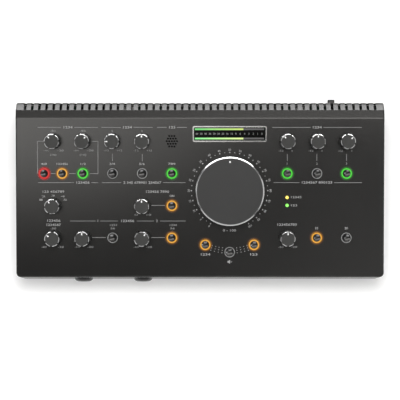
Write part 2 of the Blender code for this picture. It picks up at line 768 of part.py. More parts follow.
def fluted_radius(angle, radius):
    """Gives the knob's outer radius at an angle, less inside a grip flute."""
    sector = FULL_TURN / FLUTE_COUNT
    from_flute = abs((angle + sector / 2) % sector - sector / 2)
    rise = (from_flute - FLUTE_FLOOR_HALF_ANGLE) / (FLUTE_HALF_ANGLE - FLUTE_FLOOR_HALF_ANGLE)
    return radius - FLUTE_DEPTH * (1 - min(max(rise, 0), 1))


def flute_angles():
    """Gives the angles of the points of one knob outline, flute by flute."""
    sector = FULL_TURN / FLUTE_COUNT
    marks = (
        -FLUTE_HALF_ANGLE, -FLUTE_FLOOR_HALF_ANGLE, FLUTE_FLOOR_HALF_ANGLE, FLUTE_HALF_ANGLE, sector / 2
    )
    return [QUARTER_TURN + sector * flute + mark for flute in range(FLUTE_COUNT) for mark in marks]


def knob_mesh():
    """Raises the fluted knob from its skirt to the chamfer and the flat top."""
    angles = flute_angles()
    face_radius = KNOB_TOP_RADIUS - KNOB_CHAMFER
    sections = (
        (KNOB_STAND_OFF, lambda angle: fluted_radius(angle, KNOB_RADIUS)),
        (KNOB_HEIGHT - KNOB_CHAMFER, lambda angle: fluted_radius(angle, KNOB_TOP_RADIUS)),
        (KNOB_HEIGHT, lambda angle: min(face_radius, fluted_radius(angle, KNOB_TOP_RADIUS))),
    )
    bm = bmesh.new()
    ring = bmesh.ops.create_circle(bm, cap_ends=True, segments=len(angles), radius=KNOB_RADIUS)["verts"]
    height, radius_at = sections[0]
    for vert, angle in zip(ring, angles):
        reach = radius_at(angle)
        vert.co = (reach * math.cos(angle), reach * math.sin(angle), height)
    skirt = face = bm.faces[:][0]
    for height, radius_at in sections[1:]:
        raised = bmesh.ops.extrude_face_region(bm, geom=[face])["geom"]
        if face.is_valid and face is not skirt:
            bmesh.ops.delete(bm, geom=[face], context="FACES_ONLY")
        face = next(item for item in raised if isinstance(item, bmesh.types.BMFace))
        for vert in face.verts:
            angle = math.atan2(vert.co.y, vert.co.x) - QUARTER_TURN
            reach = radius_at(angle)
            vert.co = (-reach * math.sin(angle), reach * math.cos(angle), height)
    bmesh.ops.recalc_face_normals(bm, faces=bm.faces)
    return mesh_from("small_knob", bm)


def add_small_knobs(panel):
    """Makes the small knobs, each with its shaft, turned to where its pointer stands."""
    bm = bmesh.new()
    add_rod(bm, SHAFT_RADIUS, -SHAFT_DEPTH, KNOB_STAND_OFF + SOLDER_SINK, SHAFT_SIDES)
    shaft = mesh_from("knob_shaft", bm)
    for name, column, row, pointer in SMALL_KNOBS:
        place = (column_x(column), -row_along(row), 0)
        turn = (0, 0, -math.radians(pointer))
        knob = add_part(name, knob_mesh(), MATERIALS["knob_plastic"], panel, place, turn)
        combine(knob, add_guide(name + "_shaft", shaft, panel, place), "UNION")


def add_volume_knob(panel):
    """Makes the large volume knob with its shaft."""
    profile = [
        (0, VOLUME_HEIGHT),
        (VOLUME_RADIUS - VOLUME_CHAMFER, VOLUME_HEIGHT),
        (VOLUME_RADIUS, VOLUME_HEIGHT - VOLUME_CHAMFER),
        (VOLUME_RADIUS, KNOB_STAND_OFF),
        (SHAFT_RADIUS, KNOB_STAND_OFF),
        (SHAFT_RADIUS, -SHAFT_DEPTH),
        (0, -SHAFT_DEPTH),
    ]
    place = (MIDDLE_SECTION, -VOLUME_ALONG, 0)
    turned_part(
        "volume_knob", profile, VOLUME_SIDES, MATERIALS["knob_metal"], parent=panel, location=place
    )


def add_buttons(panel):
    """Makes the lit buttons: a dished cap in a clear ring, moulded in one piece."""
    profile = [
        (0, BUTTON_HEIGHT - BUTTON_DISH),
        (BUTTON_CAP_RADIUS, BUTTON_HEIGHT),
        (BUTTON_RADIUS, BUTTON_RING_HEIGHT),
        (BUTTON_RADIUS, -BUTTON_DEPTH),
        (0, -BUTTON_DEPTH),
    ]
    for name, (x, along) in button_places().items():
        place = (x, -along, 0)
        turned_part(
            name, profile, BUTTON_SIDES, MATERIALS["button_plastic"], parent=panel, location=place
        )


def add_meter(panel):
    """Makes the level meter: a bright bezel on the panel and the dark window inside it."""
    inner_width = METER_WIDTH - 2 * BEZEL_BORDER
    inner_length = METER_LENGTH - 2 * BEZEL_BORDER
    outer = rounded_rectangle(METER_WIDTH, METER_LENGTH, BEZEL_CORNER, BEZEL_CORNER_STEPS)
    inner = rounded_rectangle(inner_width, inner_length, BEZEL_CORNER, BEZEL_CORNER_STEPS)
    place = (MIDDLE_SECTION, -METER_ALONG, 0)
    lift = Matrix.Translation((0, 0, FIT_GAP + BEZEL_HEIGHT / 2))
    bezel = prism_mesh("meter_bezel", [outer, inner], BEZEL_HEIGHT, lift)
    add_part("meter_bezel", bezel, MATERIALS["bright_trim"], panel, place)
    outline = rounded_rectangle(
        inner_width - 2 * FIT_GAP, inner_length - 2 * FIT_GAP, BEZEL_CORNER, BEZEL_CORNER_STEPS
    )
    sink = Matrix.Translation((0, 0, (WINDOW_HEIGHT - WINDOW_DEPTH) / 2))
    window = prism_mesh("meter_window", [outline], WINDOW_HEIGHT + WINDOW_DEPTH, sink)
    add_part("meter_window", window, MATERIALS["smoked_window"], panel, place)


def add_microphone(panel):
    """Makes the talkback microphone's capsule, close behind its grille."""
    top = -(SHEET + FIT_GAP)
    bottom = top - CAPSULE_DEPTH
    profile = [(0, top), (CAPSULE_RADIUS, top), (CAPSULE_RADIUS, bottom), (0, bottom)]
    place = (column_x(LEFT_COLUMNS - 1), -row_along(0), 0)
    turned_part(
        "talkback_microphone", profile, CAPSULE_SIDES, MATERIALS["capsule_metal"], parent=panel,
        location=place,
    )


def add_lamps(panel):
    """Makes the two indicator lamps, domed above the panel and standing on the board."""
    foot = -(CONTROL_BOARD_DEPTH - FIT_GAP)
    dome_edge = (LAMP_RADIUS * math.cos(LAMP_DOME_ANGLE), LAMP_HEIGHT * math.sin(LAMP_DOME_ANGLE))
    profile = [(0, LAMP_HEIGHT), dome_edge, (LAMP_RADIUS, 0), (LAMP_RADIUS, foot), (0, foot)]
    for name, along in (("power_lamp", POWER_LED_ALONG), ("talk_lamp", TALK_LED_ALONG)):
        place = (column_x(LEFT_COLUMNS), -along, 0)
        turned_part(
            name, profile, SHAFT_SIDES, MATERIALS["lamp_plastic"], parent=panel, location=place
        )


def add_phones_sockets():
    """Makes the phones sockets: a domed collar outside the front wall and the jack's body inside."""
    profile = [
        (0, COLLAR_REACH),
        (COLLAR_FACE_RADIUS, COLLAR_REACH),
        (COLLAR_SHOULDER_RADIUS, COLLAR_SHOULDER_REACH),
        (COLLAR_RADIUS, FIT_GAP),
        (PHONES_NOSE_RADIUS, FIT_GAP),
        (PHONES_NOSE_RADIUS, -(SHEET + FIT_GAP + SOLDER_SINK)),
        (0, -(SHEET + FIT_GAP + SOLDER_SINK)),
    ]
    half_width, half_height = PHONES_BLOCK_WIDTH / 2, PHONES_BLOCK_HEIGHT / 2
    back = -(SHEET + FIT_GAP)
    for name, across_share in PHONES_SOCKET_SHARES:
        place = (across_share * HALF_WIDTH, FRONT_Y, PHONES_HEIGHT)
        turn = (QUARTER_TURN, 0, 0)
        socket = turned_part(
            name, profile, COLLAR_SIDES, MATERIALS["socket_plastic"], location=place, rotation=turn
        )
        low = (-half_width, -half_height, back - PHONES_BLOCK_DEPTH)
        block = box_mesh(name + "_block", low, (half_width, half_height, back))
        combine(socket, add_guide(name + "_block", block, None, place, turn), "UNION")
        bm = bmesh.new()
        floor = COLLAR_REACH - BORE_DEPTH
        add_rod(bm, BORE_RADIUS, floor, COLLAR_REACH + CUT_OVERRUN, SOCKET_SIDES)
        bore = add_guide(name + "_bore", mesh_from(name + "_bore", bm), None, place, turn)
        combine(socket, bore, "DIFFERENCE")


def rear_place(x, z):
    """Gives the matrix that turns a socket's own axis out of the rear panel at a place on it."""
    return Matrix.Translation((x, REAR_PANEL_Y, z)) @ REARWARD


def jack_pair_names():
    """Gives the names of the stacked pairs of line jacks, from the left."""
    return [name for name in REAR_X if name.endswith("_jacks")]


def jack_heights():
    """Gives the heights of the lower and the upper jack of a pair."""
    middle = SOCKET_FLOOR_Z + JACK_PAIR_HEIGHT / 2
    return middle - JACK_SPACING / 2, middle + JACK_SPACING / 2


def add_jack_pairs():
    """Makes the stacked pairs of line jacks along the rear panel."""
    for name in jack_pair_names():
        x = REAR_X[name]
        half = JACK_PAIR_WIDTH / 2
        low = (x - half, SOCKET_BACK_Y - JACK_PAIR_DEPTH, SOCKET_FLOOR_Z)
        high = (x + half, SOCKET_BACK_Y, SOCKET_FLOOR_Z + JACK_PAIR_HEIGHT)
        pair = add_part(name, box_mesh(name, low, high), MATERIALS["socket_plastic"])
        noses, bores = bmesh.new(), bmesh.new()
        for z in jack_heights():
            turn = rear_place(x, z)
            sink = SOCKET_BACK_Y - REAR_PANEL_Y - SOLDER_SINK
            add_rod(noses, NOSE_RADIUS, sink, SOCKET_REACH, SOCKET_SIDES, turn=turn)
            floor, mouth = SOCKET_REACH - BORE_DEPTH, SOCKET_REACH + CUT_OVERRUN
            add_rod(bores, BORE_RADIUS, floor, mouth, SOCKET_SIDES, turn=turn)
        combine(pair, add_guide(name + "_noses", mesh_from(name + "_noses", noses)), "UNION")
        combine(pair, add_guide(name + "_bores", mesh_from(name + "_bores", bores)), "DIFFERENCE")


def add_combo_sockets():
    """Makes the two combination sockets: flange, drum and foot, with a recess and a jack bore."""
    half_width, half_height = COMBO_FLANGE_WIDTH / 2, COMBO_FLANGE_HEIGHT / 2
    face = FIT_GAP + COMBO_FLANGE_THICKNESS
    for name in COMBO_NAMES:
        x = REAR_X[name]
        drum = bmesh.new()
        turn = rear_place(x, COMBO_HEIGHT)
        add_rod(drum, COMBO_RADIUS, face - COMBO_DEPTH, FIT_GAP + SOLDER_SINK, COMBO_SIDES, turn=turn)
        socket = add_part(name, mesh_from(name, drum), MATERIALS["socket_plastic"])
        low = (x - half_width, REAR_PANEL_Y + FIT_GAP, COMBO_HEIGHT - half_height)
        high = (x + half_width, REAR_PANEL_Y + face, COMBO_HEIGHT + half_height)
        combine(socket, add_guide(name + "_flange", box_mesh(name + "_flange", low, high)), "UNION")
        foot_rear = SOCKET_BACK_Y - FIT_GAP
        low = (x - COMBO_FOOT_WIDTH / 2, foot_rear - COMBO_FOOT_DEPTH, SOCKET_FLOOR_Z)
        high = (x + COMBO_FOOT_WIDTH / 2, foot_rear, COMBO_HEIGHT)
        combine(socket, add_guide(name + "_foot", box_mesh(name + "_foot", low, high)), "UNION")
        hollow = bmesh.new()
        add_rod(hollow, BORE_RADIUS, face - COMBO_BORE_DEPTH, face, SOCKET_SIDES, turn=turn)
        recess = bmesh.new()
        floor = face - COMBO_RECESS_DEPTH
        add_rod(recess, COMBO_RECESS_RADIUS, floor, face + CUT_OVERRUN, COMBO_SIDES, turn=turn)
        combine(socket, add_guide(name + "_recess", mesh_from(name + "_recess", recess)), "DIFFERENCE")
        combine(socket, add_guide(name + "_bore", mesh_from(name + "_bore", hollow)), "DIFFERENCE")


def standing_box(name, x, width, height, depth, reach):
    """Makes a socket body that stands on the main board and reaches out of the rear panel."""
    low = (x - width / 2, REAR_PANEL_Y + reach - depth, SOCKET_FLOOR_Z)
    high = (x + width / 2, REAR_PANEL_Y + reach, SOCKET_FLOOR_Z + height)
    return box_mesh(name, low, high)


def add_usb_socket():
    """Makes the square data socket: a metal shell round a tongue."""
    x = REAR_X["usb_socket"]
    usb = add_part(
        "usb_socket",
        standing_box("usb_socket", x, USB_WIDTH, USB_HEIGHT, USB_DEPTH, SOCKET_REACH),
        MATERIALS["socket_metal"],
    )
    outer = rectangle_corners(USB_WIDTH, USB_HEIGHT, USB_WALL)
    inner = rectangle_corners(USB_TONGUE_WIDTH, USB_TONGUE_HEIGHT, 0)
    shift = Matrix.Translation((0, 0, SOCKET_REACH + CUT_OVERRUN - (USB_CAVITY_DEPTH + CUT_OVERRUN) / 2))
    place = rear_place(x, SOCKET_FLOOR_Z + USB_HEIGHT / 2) @ shift
    cavity = prism_mesh("usb_cavity", [outer, inner], USB_CAVITY_DEPTH + CUT_OVERRUN, place)
    combine(usb, add_guide("usb_cavity", cavity), "DIFFERENCE")


def rectangle_corners(width, height, inset):
    """Gives the corners of a rectangle about the origin, drawn in by an inset."""
    x, y = width / 2 - inset, height / 2 - inset
    return (-x, -y), (x, -y), (x, y), (-x, y)


def add_power_inlet():
    """Makes the low-voltage inlet: a body on the board and a round nose with a centre pin."""
    x = REAR_X["power_inlet"]
    back = SOCKET_BACK_Y - REAR_PANEL_Y
    inlet = add_part(
        "power_inlet",
        standing_box("power_inlet", x, INLET_WIDTH, INLET_HEIGHT, INLET_DEPTH, back),
        MATERIALS["socket_plastic"],
    )
    turn = rear_place(x, SOCKET_FLOOR_Z + INLET_HEIGHT / 2)
    nose = bmesh.new()
    add_rod(nose, INLET_NOSE_RADIUS, back - SOLDER_SINK, SOCKET_REACH, SOCKET_SIDES, turn=turn)
    combine(inlet, add_guide("inlet_nose", mesh_from("inlet_nose", nose)), "UNION")
    bore = bmesh.new()
    floor = SOCKET_REACH - INLET_BORE_DEPTH
    add_rod(bore, INLET_BORE_RADIUS, floor, SOCKET_REACH + CUT_OVERRUN, SOCKET_SIDES, turn=turn)
    combine(inlet, add_guide("inlet_bore", mesh_from("inlet_bore", bore)), "DIFFERENCE")
    pin = bmesh.new()
    tip = SOCKET_REACH - INLET_PIN_RADIUS
    add_rod(pin, INLET_PIN_RADIUS, floor - SOLDER_SINK, tip, PIN_SIDES, turn=turn)
    combine(inlet, add_guide("inlet_pin", mesh_from("inlet_pin", pin)), "UNION")


def add_coax_socket():
    """Makes the coaxial digital socket: a body on the board and a bored sleeve."""
    x = REAR_X["coax_socket"]
    back = SOCKET_BACK_Y - REAR_PANEL_Y
    coax = add_part(
        "coax_socket",
        standing_box("coax_socket", x, COAX_WIDTH, COAX_HEIGHT, COAX_DEPTH, back),
        MATERIALS["socket_metal"],
    )
    turn = rear_place(x, SOCKET_FLOOR_Z + COAX_HEIGHT / 2)
    sleeve, bore = bmesh.new(), bmesh.new()
    add_rod(sleeve, COAX_NOSE_RADIUS, back - SOLDER_SINK, COAX_REACH, SOCKET_SIDES, turn=turn)
    combine(coax, add_guide("coax_sleeve", mesh_from("coax_sleeve", sleeve)), "UNION")
    add_rod(bore, COAX_BORE_RADIUS, back, COAX_REACH + CUT_OVERRUN, PIN_SIDES, turn=turn)
    combine(coax, add_guide("coax_bore", mesh_from("coax_bore", bore)), "DIFFERENCE")


def add_optical_socket():
    """Makes the optical socket with its shallow dust door."""
    x = REAR_X["optical_socket"]
    body = standing_box(
        "optical_socket", x, OPTICAL_WIDTH, OPTICAL_HEIGHT, OPTICAL_DEPTH, SOCKET_REACH
    )
    optical = add_part("optical_socket", body, MATERIALS["socket_plastic"])
    half = OPTICAL_DOOR_SIZE / 2
    z = SOCKET_FLOOR_Z + OPTICAL_HEIGHT / 2
    face = REAR_PANEL_Y + SOCKET_REACH
    door = box_mesh(
        "optical_door",
        (x - half, face - OPTICAL_DOOR_DEPTH, z - half),
        (x + half, face + CUT_OVERRUN, z + half),
    )
    combine(optical, add_guide("optical_door", door), "DIFFERENCE")


def box_window(bm, name, z, width, height):
    """Adds the cutter of a fitting's square window in the rear panel, with clearance all round."""
    x = REAR_X[name]
    half_width, half_height = width / 2 + FIT_GAP, height / 2 + FIT_GAP
    add_box(
        bm,
        (x - half_width, REAR_PANEL_Y - SHEET - CUT_OVERRUN, z - half_height),
        (x + half_width, REAR_PANEL_Y + CUT_OVERRUN, z + half_height),
    )


def round_window(bm, name, z, radius, sides):
    """Adds the cutter of a fitting's round window in the rear panel, with clearance all round."""
    turn = rear_place(REAR_X[name], z)
    add_rod(bm, radius + FIT_GAP, -(SHEET + CUT_OVERRUN), CUT_OVERRUN, sides, turn=turn)


def rear_windows():
    """Makes the cutters of every socket hole in the rear panel."""
    bm = bmesh.new()
    for name in jack_pair_names():
        for z in jack_heights():
            round_window(bm, name, z, NOSE_RADIUS, SOCKET_SIDES)
    for name in COMBO_NAMES:
        round_window(bm, name, COMBO_HEIGHT, COMBO_RADIUS, COMBO_SIDES)
    inlet_z, coax_z, usb_z, optical_z = (
        SOCKET_FLOOR_Z + height / 2 for height in (INLET_HEIGHT, COAX_HEIGHT, USB_HEIGHT, OPTICAL_HEIGHT)
    )
    round_window(bm, "power_inlet", inlet_z, INLET_NOSE_RADIUS, SOCKET_SIDES)
    round_window(bm, "coax_socket", coax_z, COAX_NOSE_RADIUS, SOCKET_SIDES)
    box_window(bm, "usb_socket", usb_z, USB_WIDTH, USB_HEIGHT)
    box_window(bm, "optical_socket", optical_z, OPTICAL_WIDTH, OPTICAL_HEIGHT)
    box_window(bm, "power_button", POWER_HEIGHT, POWER_SIZE, POWER_SIZE)
    return add_guide("rear_windows", mesh_from("rear_windows", bm))


def add_rear_panel():
    """Makes the socket panel: it stands on the base with a folded foot, inside the cover's rear flange."""
    foot = BASE_TOP_Z + FIT_GAP
    height = REAR_WINDOW_TOP_Z + REAR_PANEL_LAP - foot
    foot_front = REAR_PANEL_Y - FLANGE_HEIGHT / 2
    sheet = folded_tray(
        "rear_panel", REAR_HALF_WIDTH, foot_front, REAR_PANEL_Y, height, 0,
        lambda middle: middle.y > REAR_PANEL_Y - MERGE_DISTANCE,
    )
    rear = add_part("rear_panel", sheet, MATERIALS["painted_steel"], location=(0, 0, foot))
    thicken(rear, INWARD)
    combine(rear, rear_windows(), "DIFFERENCE")


def add_power_button():
    """Makes the power button, which stands out of the rear panel and pushes on its switch."""
    half = POWER_SIZE / 2
    bm = bmesh.new()
    add_box(bm, (-half, -half, -POWER_DEPTH), (half, half, POWER_REACH))
    outer = [edge for edge in bm.edges if max(vert.co.z for vert in edge.verts) > 0]
    bmesh.ops.bevel(
        bm, geom=outer, offset=POWER_ROUNDING, segments=POWER_ROUNDING_STEPS, profile=ROUND_PROFILE,
        affect="EDGES",
    )
    place = (REAR_X["power_button"], REAR_Y, POWER_HEIGHT)
    add_part(
        "power_button", mesh_from("power_button", bm), MATERIALS["button_plastic"], None, place,
        (-QUARTER_TURN, 0, 0),
    )


clear_scene()
PARTS = new_collection("studio_monitor_controller")
GUIDES = new_collection("guides")
FORWARD = Matrix.Rotation(QUARTER_TURN, 4, "X")
REARWARD = Matrix.Rotation(-QUARTER_TURN, 4, "X")
INWARD = -1.0
REAR_X = rear_places()
MATERIALS = {
    "painted_steel": principled("painted_steel", (0.045, 0.044, 0.042), 0.42),
    "zinc_steel": principled("zinc_steel", (0.42, 0.43, 0.44), 0.38, 1.0),
    "rubber": principled("rubber", (0.02, 0.02, 0.02), 0.85),
    "circuit_board": principled("circuit_board", (0.02, 0.1, 0.04), 0.5),
    "knob_plastic": principled("knob_plastic", (0.05, 0.05, 0.052), 0.4),
    "knob_metal": principled("knob_metal", (0.06, 0.06, 0.062), 0.35, 0.6),
    "button_plastic": principled("button_plastic", (0.02, 0.02, 0.022), 0.18),
    "bright_trim": principled("bright_trim", (0.78, 0.78, 0.78), 0.2, 1.0),
    "smoked_window": principled("smoked_window", (0.01, 0.01, 0.01), 0.08),
    "capsule_metal": principled("capsule_metal", (0.5, 0.5, 0.5), 0.35, 1.0),
    "lamp_plastic": principled("lamp_plastic", (0.8, 0.75, 0.4), 0.15),
    "socket_plastic": principled("socket_plastic", (0.018, 0.018, 0.018), 0.3),
    "socket_metal": principled("socket_metal", (0.6, 0.6, 0.6), 0.28, 1.0),
}
PANEL = bpy.data.objects.new("panel_plane", None)
PARTS.objects.link(PANEL)
PANEL.location = (0, BEND_Y, LEDGE_Z)
PANEL.rotation_euler = (PANEL_SLOPE, 0, 0)
bpy.context.view_layer.update()

add_top_cover(PANEL)
add_base_pan()
add_rear_panel()
add_feet()
add_main_board()
add_control_board(PANEL)
add_small_knobs(PANEL)
add_volume_knob(PANEL)
add_buttons(PANEL)
add_meter(PANEL)
add_microphone(PANEL)
add_lamps(PANEL)
add_phones_sockets()
add_jack_pairs()
add_combo_sockets()
add_usb_socket()
add_power_inlet()
add_coax_socket()
add_optical_socket()
add_power_button()
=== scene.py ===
"""Dresses the studio monitor controller: painted steel, dials, lit buttons, meter, printing and sockets.

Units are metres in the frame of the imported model: X across the front, Y to the rear sockets, Z up.
"""

import logging
import math
from collections.abc import Callable, Iterable, Sequence
from dataclasses import dataclass, field
from enum import Enum

import bmesh
import bpy
from mathutils import Matrix, Vector


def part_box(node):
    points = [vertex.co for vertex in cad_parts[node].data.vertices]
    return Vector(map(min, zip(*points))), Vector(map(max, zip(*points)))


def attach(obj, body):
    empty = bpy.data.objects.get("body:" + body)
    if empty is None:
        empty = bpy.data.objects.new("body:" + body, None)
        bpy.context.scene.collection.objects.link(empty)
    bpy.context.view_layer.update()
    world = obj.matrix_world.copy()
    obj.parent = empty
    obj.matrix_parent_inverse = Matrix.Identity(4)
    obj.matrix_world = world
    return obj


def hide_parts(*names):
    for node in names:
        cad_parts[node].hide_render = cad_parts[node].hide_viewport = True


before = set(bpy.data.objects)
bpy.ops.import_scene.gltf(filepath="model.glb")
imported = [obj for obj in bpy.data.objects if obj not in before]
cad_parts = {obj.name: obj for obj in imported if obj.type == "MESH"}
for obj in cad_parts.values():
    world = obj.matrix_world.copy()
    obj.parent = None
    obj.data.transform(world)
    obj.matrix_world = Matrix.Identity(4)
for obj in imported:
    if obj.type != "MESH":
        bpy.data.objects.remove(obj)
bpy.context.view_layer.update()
COVER_BOX: tuple[Vector, Vector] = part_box("top_cover")
LOG = logging.getLogger("monitor_controller")

Point = tuple[float, float]
Colour = tuple[float, float, float]

MM = 0.001
FULL_TURN = 2 * math.pi
QUARTER_TURN = math.pi / 2
MERGE_DISTANCE = 0.00001
SHARP_ANGLE = math.radians(32.0)
FLAT_ANGLE = math.radians(0.2)
FOLD_ANGLE = math.radians(60.0)
FADE = "fade"
TONE_SPAN = (0.3, 0.7)
RIM_TILT = 0.3
PLATE_TILT = 0.99
GLOW_DIP = 0.82
MARK_LIFT = 0.03 * MM


class Slot(Enum):
    """The record's material slots; no piece of this script takes one."""

    PAINT = "painted_steel"
    KNOB_PLASTIC = "knob_plastic"
    KNOB_METAL = "knob_metal"
    BUTTON = "button_plastic"
    BRIGHT = "bright_trim"
    WINDOW = "smoked_window"
    LAMP = "lamp_plastic"
    SOCKET_PLASTIC = "socket_plastic"


class Light(Enum):
    """What a button's ring shows."""

    OFF = "off"
    RED = "red"
    AMBER = "amber"
    GREEN = "green"


# ---------------------------------------------------------------- mesh helpers


def link(item: bpy.types.Object) -> bpy.types.Object:
    """Links an object to the scene and gives it back."""
    bpy.context.scene.collection.objects.link(item)
    return item


def evaluated_mesh(item: bpy.types.Object) -> bpy.types.Mesh:
    """Gives the mesh of an object as its modifiers leave it."""
    graph = bpy.context.evaluated_depsgraph_get()
    return bpy.data.meshes.new_from_object(item.evaluated_get(graph))


def baked(item: bpy.types.Object) -> bpy.types.Mesh:
    """Gives the evaluated mesh of a helper object and removes the object.

    Args:
        item: The helper object, with its modifiers.

    Returns:
        The plain mesh that its modifiers make.
    """
    mesh = evaluated_mesh(item)
    bpy.data.objects.remove(item, do_unlink=True)
    return mesh


def to_mesh(bm: bmesh.types.BMesh, name: str, matrix: Matrix | None = None) -> bpy.types.Mesh:
    """Turns a working mesh into mesh data with smooth round faces and sharp edges.

    Args:
        bm: The working mesh, which is freed.
        name: The mesh's name.
        matrix: Its place, applied to the mesh.

    Returns:
        The finished mesh.
    """
    if matrix is not None:
        bm.transform(matrix)
    mesh = bpy.data.meshes.new(name)
    bm.to_mesh(mesh)
    bm.free()
    mesh.shade_smooth()
    mesh.set_sharp_from_angle(angle=SHARP_ANGLE)
    return mesh


def joined(meshes: Iterable[bpy.types.Mesh]) -> bmesh.types.BMesh:
    """Collects meshes into one working mesh, and removes them.

    Args:
        meshes: The meshes to collect.

    Returns:
        The working mesh.
    """
    bm = bmesh.new()
    for mesh in meshes:
        bm.from_mesh(mesh)
        bpy.data.meshes.remove(mesh)
    return bm


def add_box(bm: bmesh.types.BMesh, low: Sequence[float], high: Sequence[float]) -> None:
    """Adds a box to a working mesh.

    Args:
        bm: The working mesh.
        low: The box's lowest corner.
        high: Its highest corner.
    """
    low, high = Vector(low), Vector(high)
    place = Matrix.Translation((low + high) / 2) @ Matrix.Diagonal((*(high - low), 1))
    bmesh.ops.create_cube(bm, size=1.0, matrix=place)


def add_rod(bm: bmesh.types.BMesh, radius: float, bottom: float, top: float, sides: int, matrix: Matrix) -> None:
    """Adds a round rod between two heights.

    Args:
        bm: The working mesh.
        radius: The rod's radius.
        bottom: Its lower end along its own axis.
        top: Its upper end along its own axis.
        sides: Its number of sides.
        matrix: The place of its axis.
    """
    centre = matrix @ Matrix.Translation((0, 0, (bottom + top) / 2))
    bmesh.ops.create_cone(
        bm, cap_ends=True, segments=sides, radius1=radius, radius2=radius, depth=top - bottom, matrix=centre
    )


def softened(profile: Sequence[Point], radius: float, steps: int = 4) -> list[Point]:
    """Rounds the corners between the first and the last point of an open profile.

    Args:
        profile: The points, each a place along two axes.
        radius: How far from each corner the round starts, less where a side is short.
        steps: The number of steps in each round.

    Returns:
        The rounded profile.
    """
    points = [Vector(place) for place in profile]
    result = [points[0]]
    for before, corner, after in zip(points, points[1:], points[2:]):
        inward, outward = before - corner, after - corner
        reach = min(radius, inward.length * 0.45, outward.length * 0.45)
        start, end = corner + inward.normalized() * reach, corner + outward.normalized() * reach
        for step in range(steps + 1):
            share = step / steps
            result.append(start * (1 - share) ** 2 + corner * 2 * share * (1 - share) + end * share**2)
    result.append(points[-1])
    return [(place.x, place.y) for place in result]


def turned(
    profile: Sequence[Point], sides: int, reach: Callable[[float, float], float] | None = None
) -> bmesh.types.BMesh:
    """Turns a profile, given from its top centre down the outer side, about the Z axis.

    Args:
        profile: Radius and height of each point; a radius of zero is a pole.
        sides: The number of sides.
        reach: Gives the radius at an angle and a nominal radius, where the outline isn't round.

    Returns:
        The closed working mesh.
    """
    bm = bmesh.new()
    rings = []
    for radius, height in profile:
        if radius == 0:
            rings.append([bm.verts.new((0, 0, height))])
            continue
        ring = []
        for side in range(sides):
            angle = QUARTER_TURN + FULL_TURN * side / sides
            span = reach(angle - QUARTER_TURN, radius) if reach else radius
            ring.append(bm.verts.new((span * math.cos(angle), span * math.sin(angle), height)))
        rings.append(ring)
    for upper, lower in zip(rings, rings[1:]):
        for side in range(sides):
            after = (side + 1) % sides
            corners = (
                upper[side % len(upper)], lower[side % len(lower)], lower[after % len(lower)], upper[after % len(upper)]
            )
            unique = list(dict.fromkeys(corners))
            if len(unique) > 2:
                bm.faces.new(unique)
    bmesh.ops.recalc_face_normals(bm, faces=bm.faces)
    return bm


def corner_arc(before: Vector, corner: Vector, after: Vector, radius: float, steps: int) -> list[Vector]:
    """Gives the points of the arc that rounds one corner of an outline.

    Args:
        before: The corner before it.
        corner: The corner itself.
        after: The corner after it.
        radius: The arc's radius.
        steps: The number of steps along it.

    Returns:
        The arc's points in order.
    """
    inward = (before - corner).normalized()
    outward = (after - corner).normalized()
    half_angle = inward.angle(outward) / 2
    start = corner + inward * radius / math.tan(half_angle)
    centre = corner + (inward + outward).normalized() * radius / math.sin(half_angle)
    arm = start - centre
    sweep = (math.pi - 2 * half_angle) * (1 if inward.x * outward.y > inward.y * outward.x else -1)
    return [centre + Matrix.Rotation(-sweep * step / steps, 2) @ arm for step in range(steps + 1)]


def rounded_outline(corners: Sequence[tuple[Point, float, int]]) -> list[Vector]:
    """Joins corners into one closed outline.

    Args:
        corners: Each corner's place, with its radius and the steps of its arc.

    Returns:
        The outline's points in order.
    """
    outline: list[Vector] = []
    for index, (place, radius, steps) in enumerate(corners):
        if radius == 0:
            outline.append(Vector(place))
            continue
        before, after = corners[index - 1][0], corners[(index + 1) % len(corners)][0]
        outline.extend(corner_arc(Vector(before), Vector(place), Vector(after), radius, steps))
    return outline


def rounded_rectangle(width: float, length: float, radius: float, steps: int) -> list[Vector]:
    """Gives a rectangle about the origin with rounded corners."""
    x, y = width / 2, length / 2
    return rounded_outline([(place, radius, steps) for place in ((-x, -y), (x, -y), (x, y), (-x, y))])


def prism(outline: Sequence[Sequence[float]], bottom: float, top: float) -> bmesh.types.BMesh:
    """Raises a closed flat outline into a prism.

    Args:
        outline: The outline's points.
        bottom: The height of its lower face.
        top: The height of its upper face.

    Returns:
        The working mesh.
    """
    bm = bmesh.new()
    floor = [bm.verts.new((*place, bottom)) for place in outline]
    roof = [bm.verts.new((*place, top)) for place in outline]
    bm.faces.new(floor)
    bm.faces.new(roof)
    for index in range(len(outline)):
        after = (index + 1) % len(outline)
        bm.faces.new((floor[index], floor[after], roof[after], roof[index]))
    bmesh.ops.recalc_face_normals(bm, faces=bm.faces)
    return bm


def boolean(mesh: bpy.types.Mesh, cutter: bpy.types.Mesh, operation: str) -> bpy.types.Mesh:
    """Cuts a mesh with another one, or intersects them.

    Args:
        mesh: The mesh that stays.
        cutter: The mesh that cuts.
        operation: DIFFERENCE, INTERSECT or UNION.

    Returns:
        The result, with both sources removed.
    """
    item = link(bpy.data.objects.new("work", mesh))
    tool = link(bpy.data.objects.new("tool", cutter))
    modifier = item.modifiers.new("cut", "BOOLEAN")
    modifier.operation, modifier.solver, modifier.object = operation, "EXACT", tool
    result = evaluated_mesh(item)
    for helper in (item, tool):
        data = helper.data
        bpy.data.objects.remove(helper, do_unlink=True)
        bpy.data.meshes.remove(data)
    return result


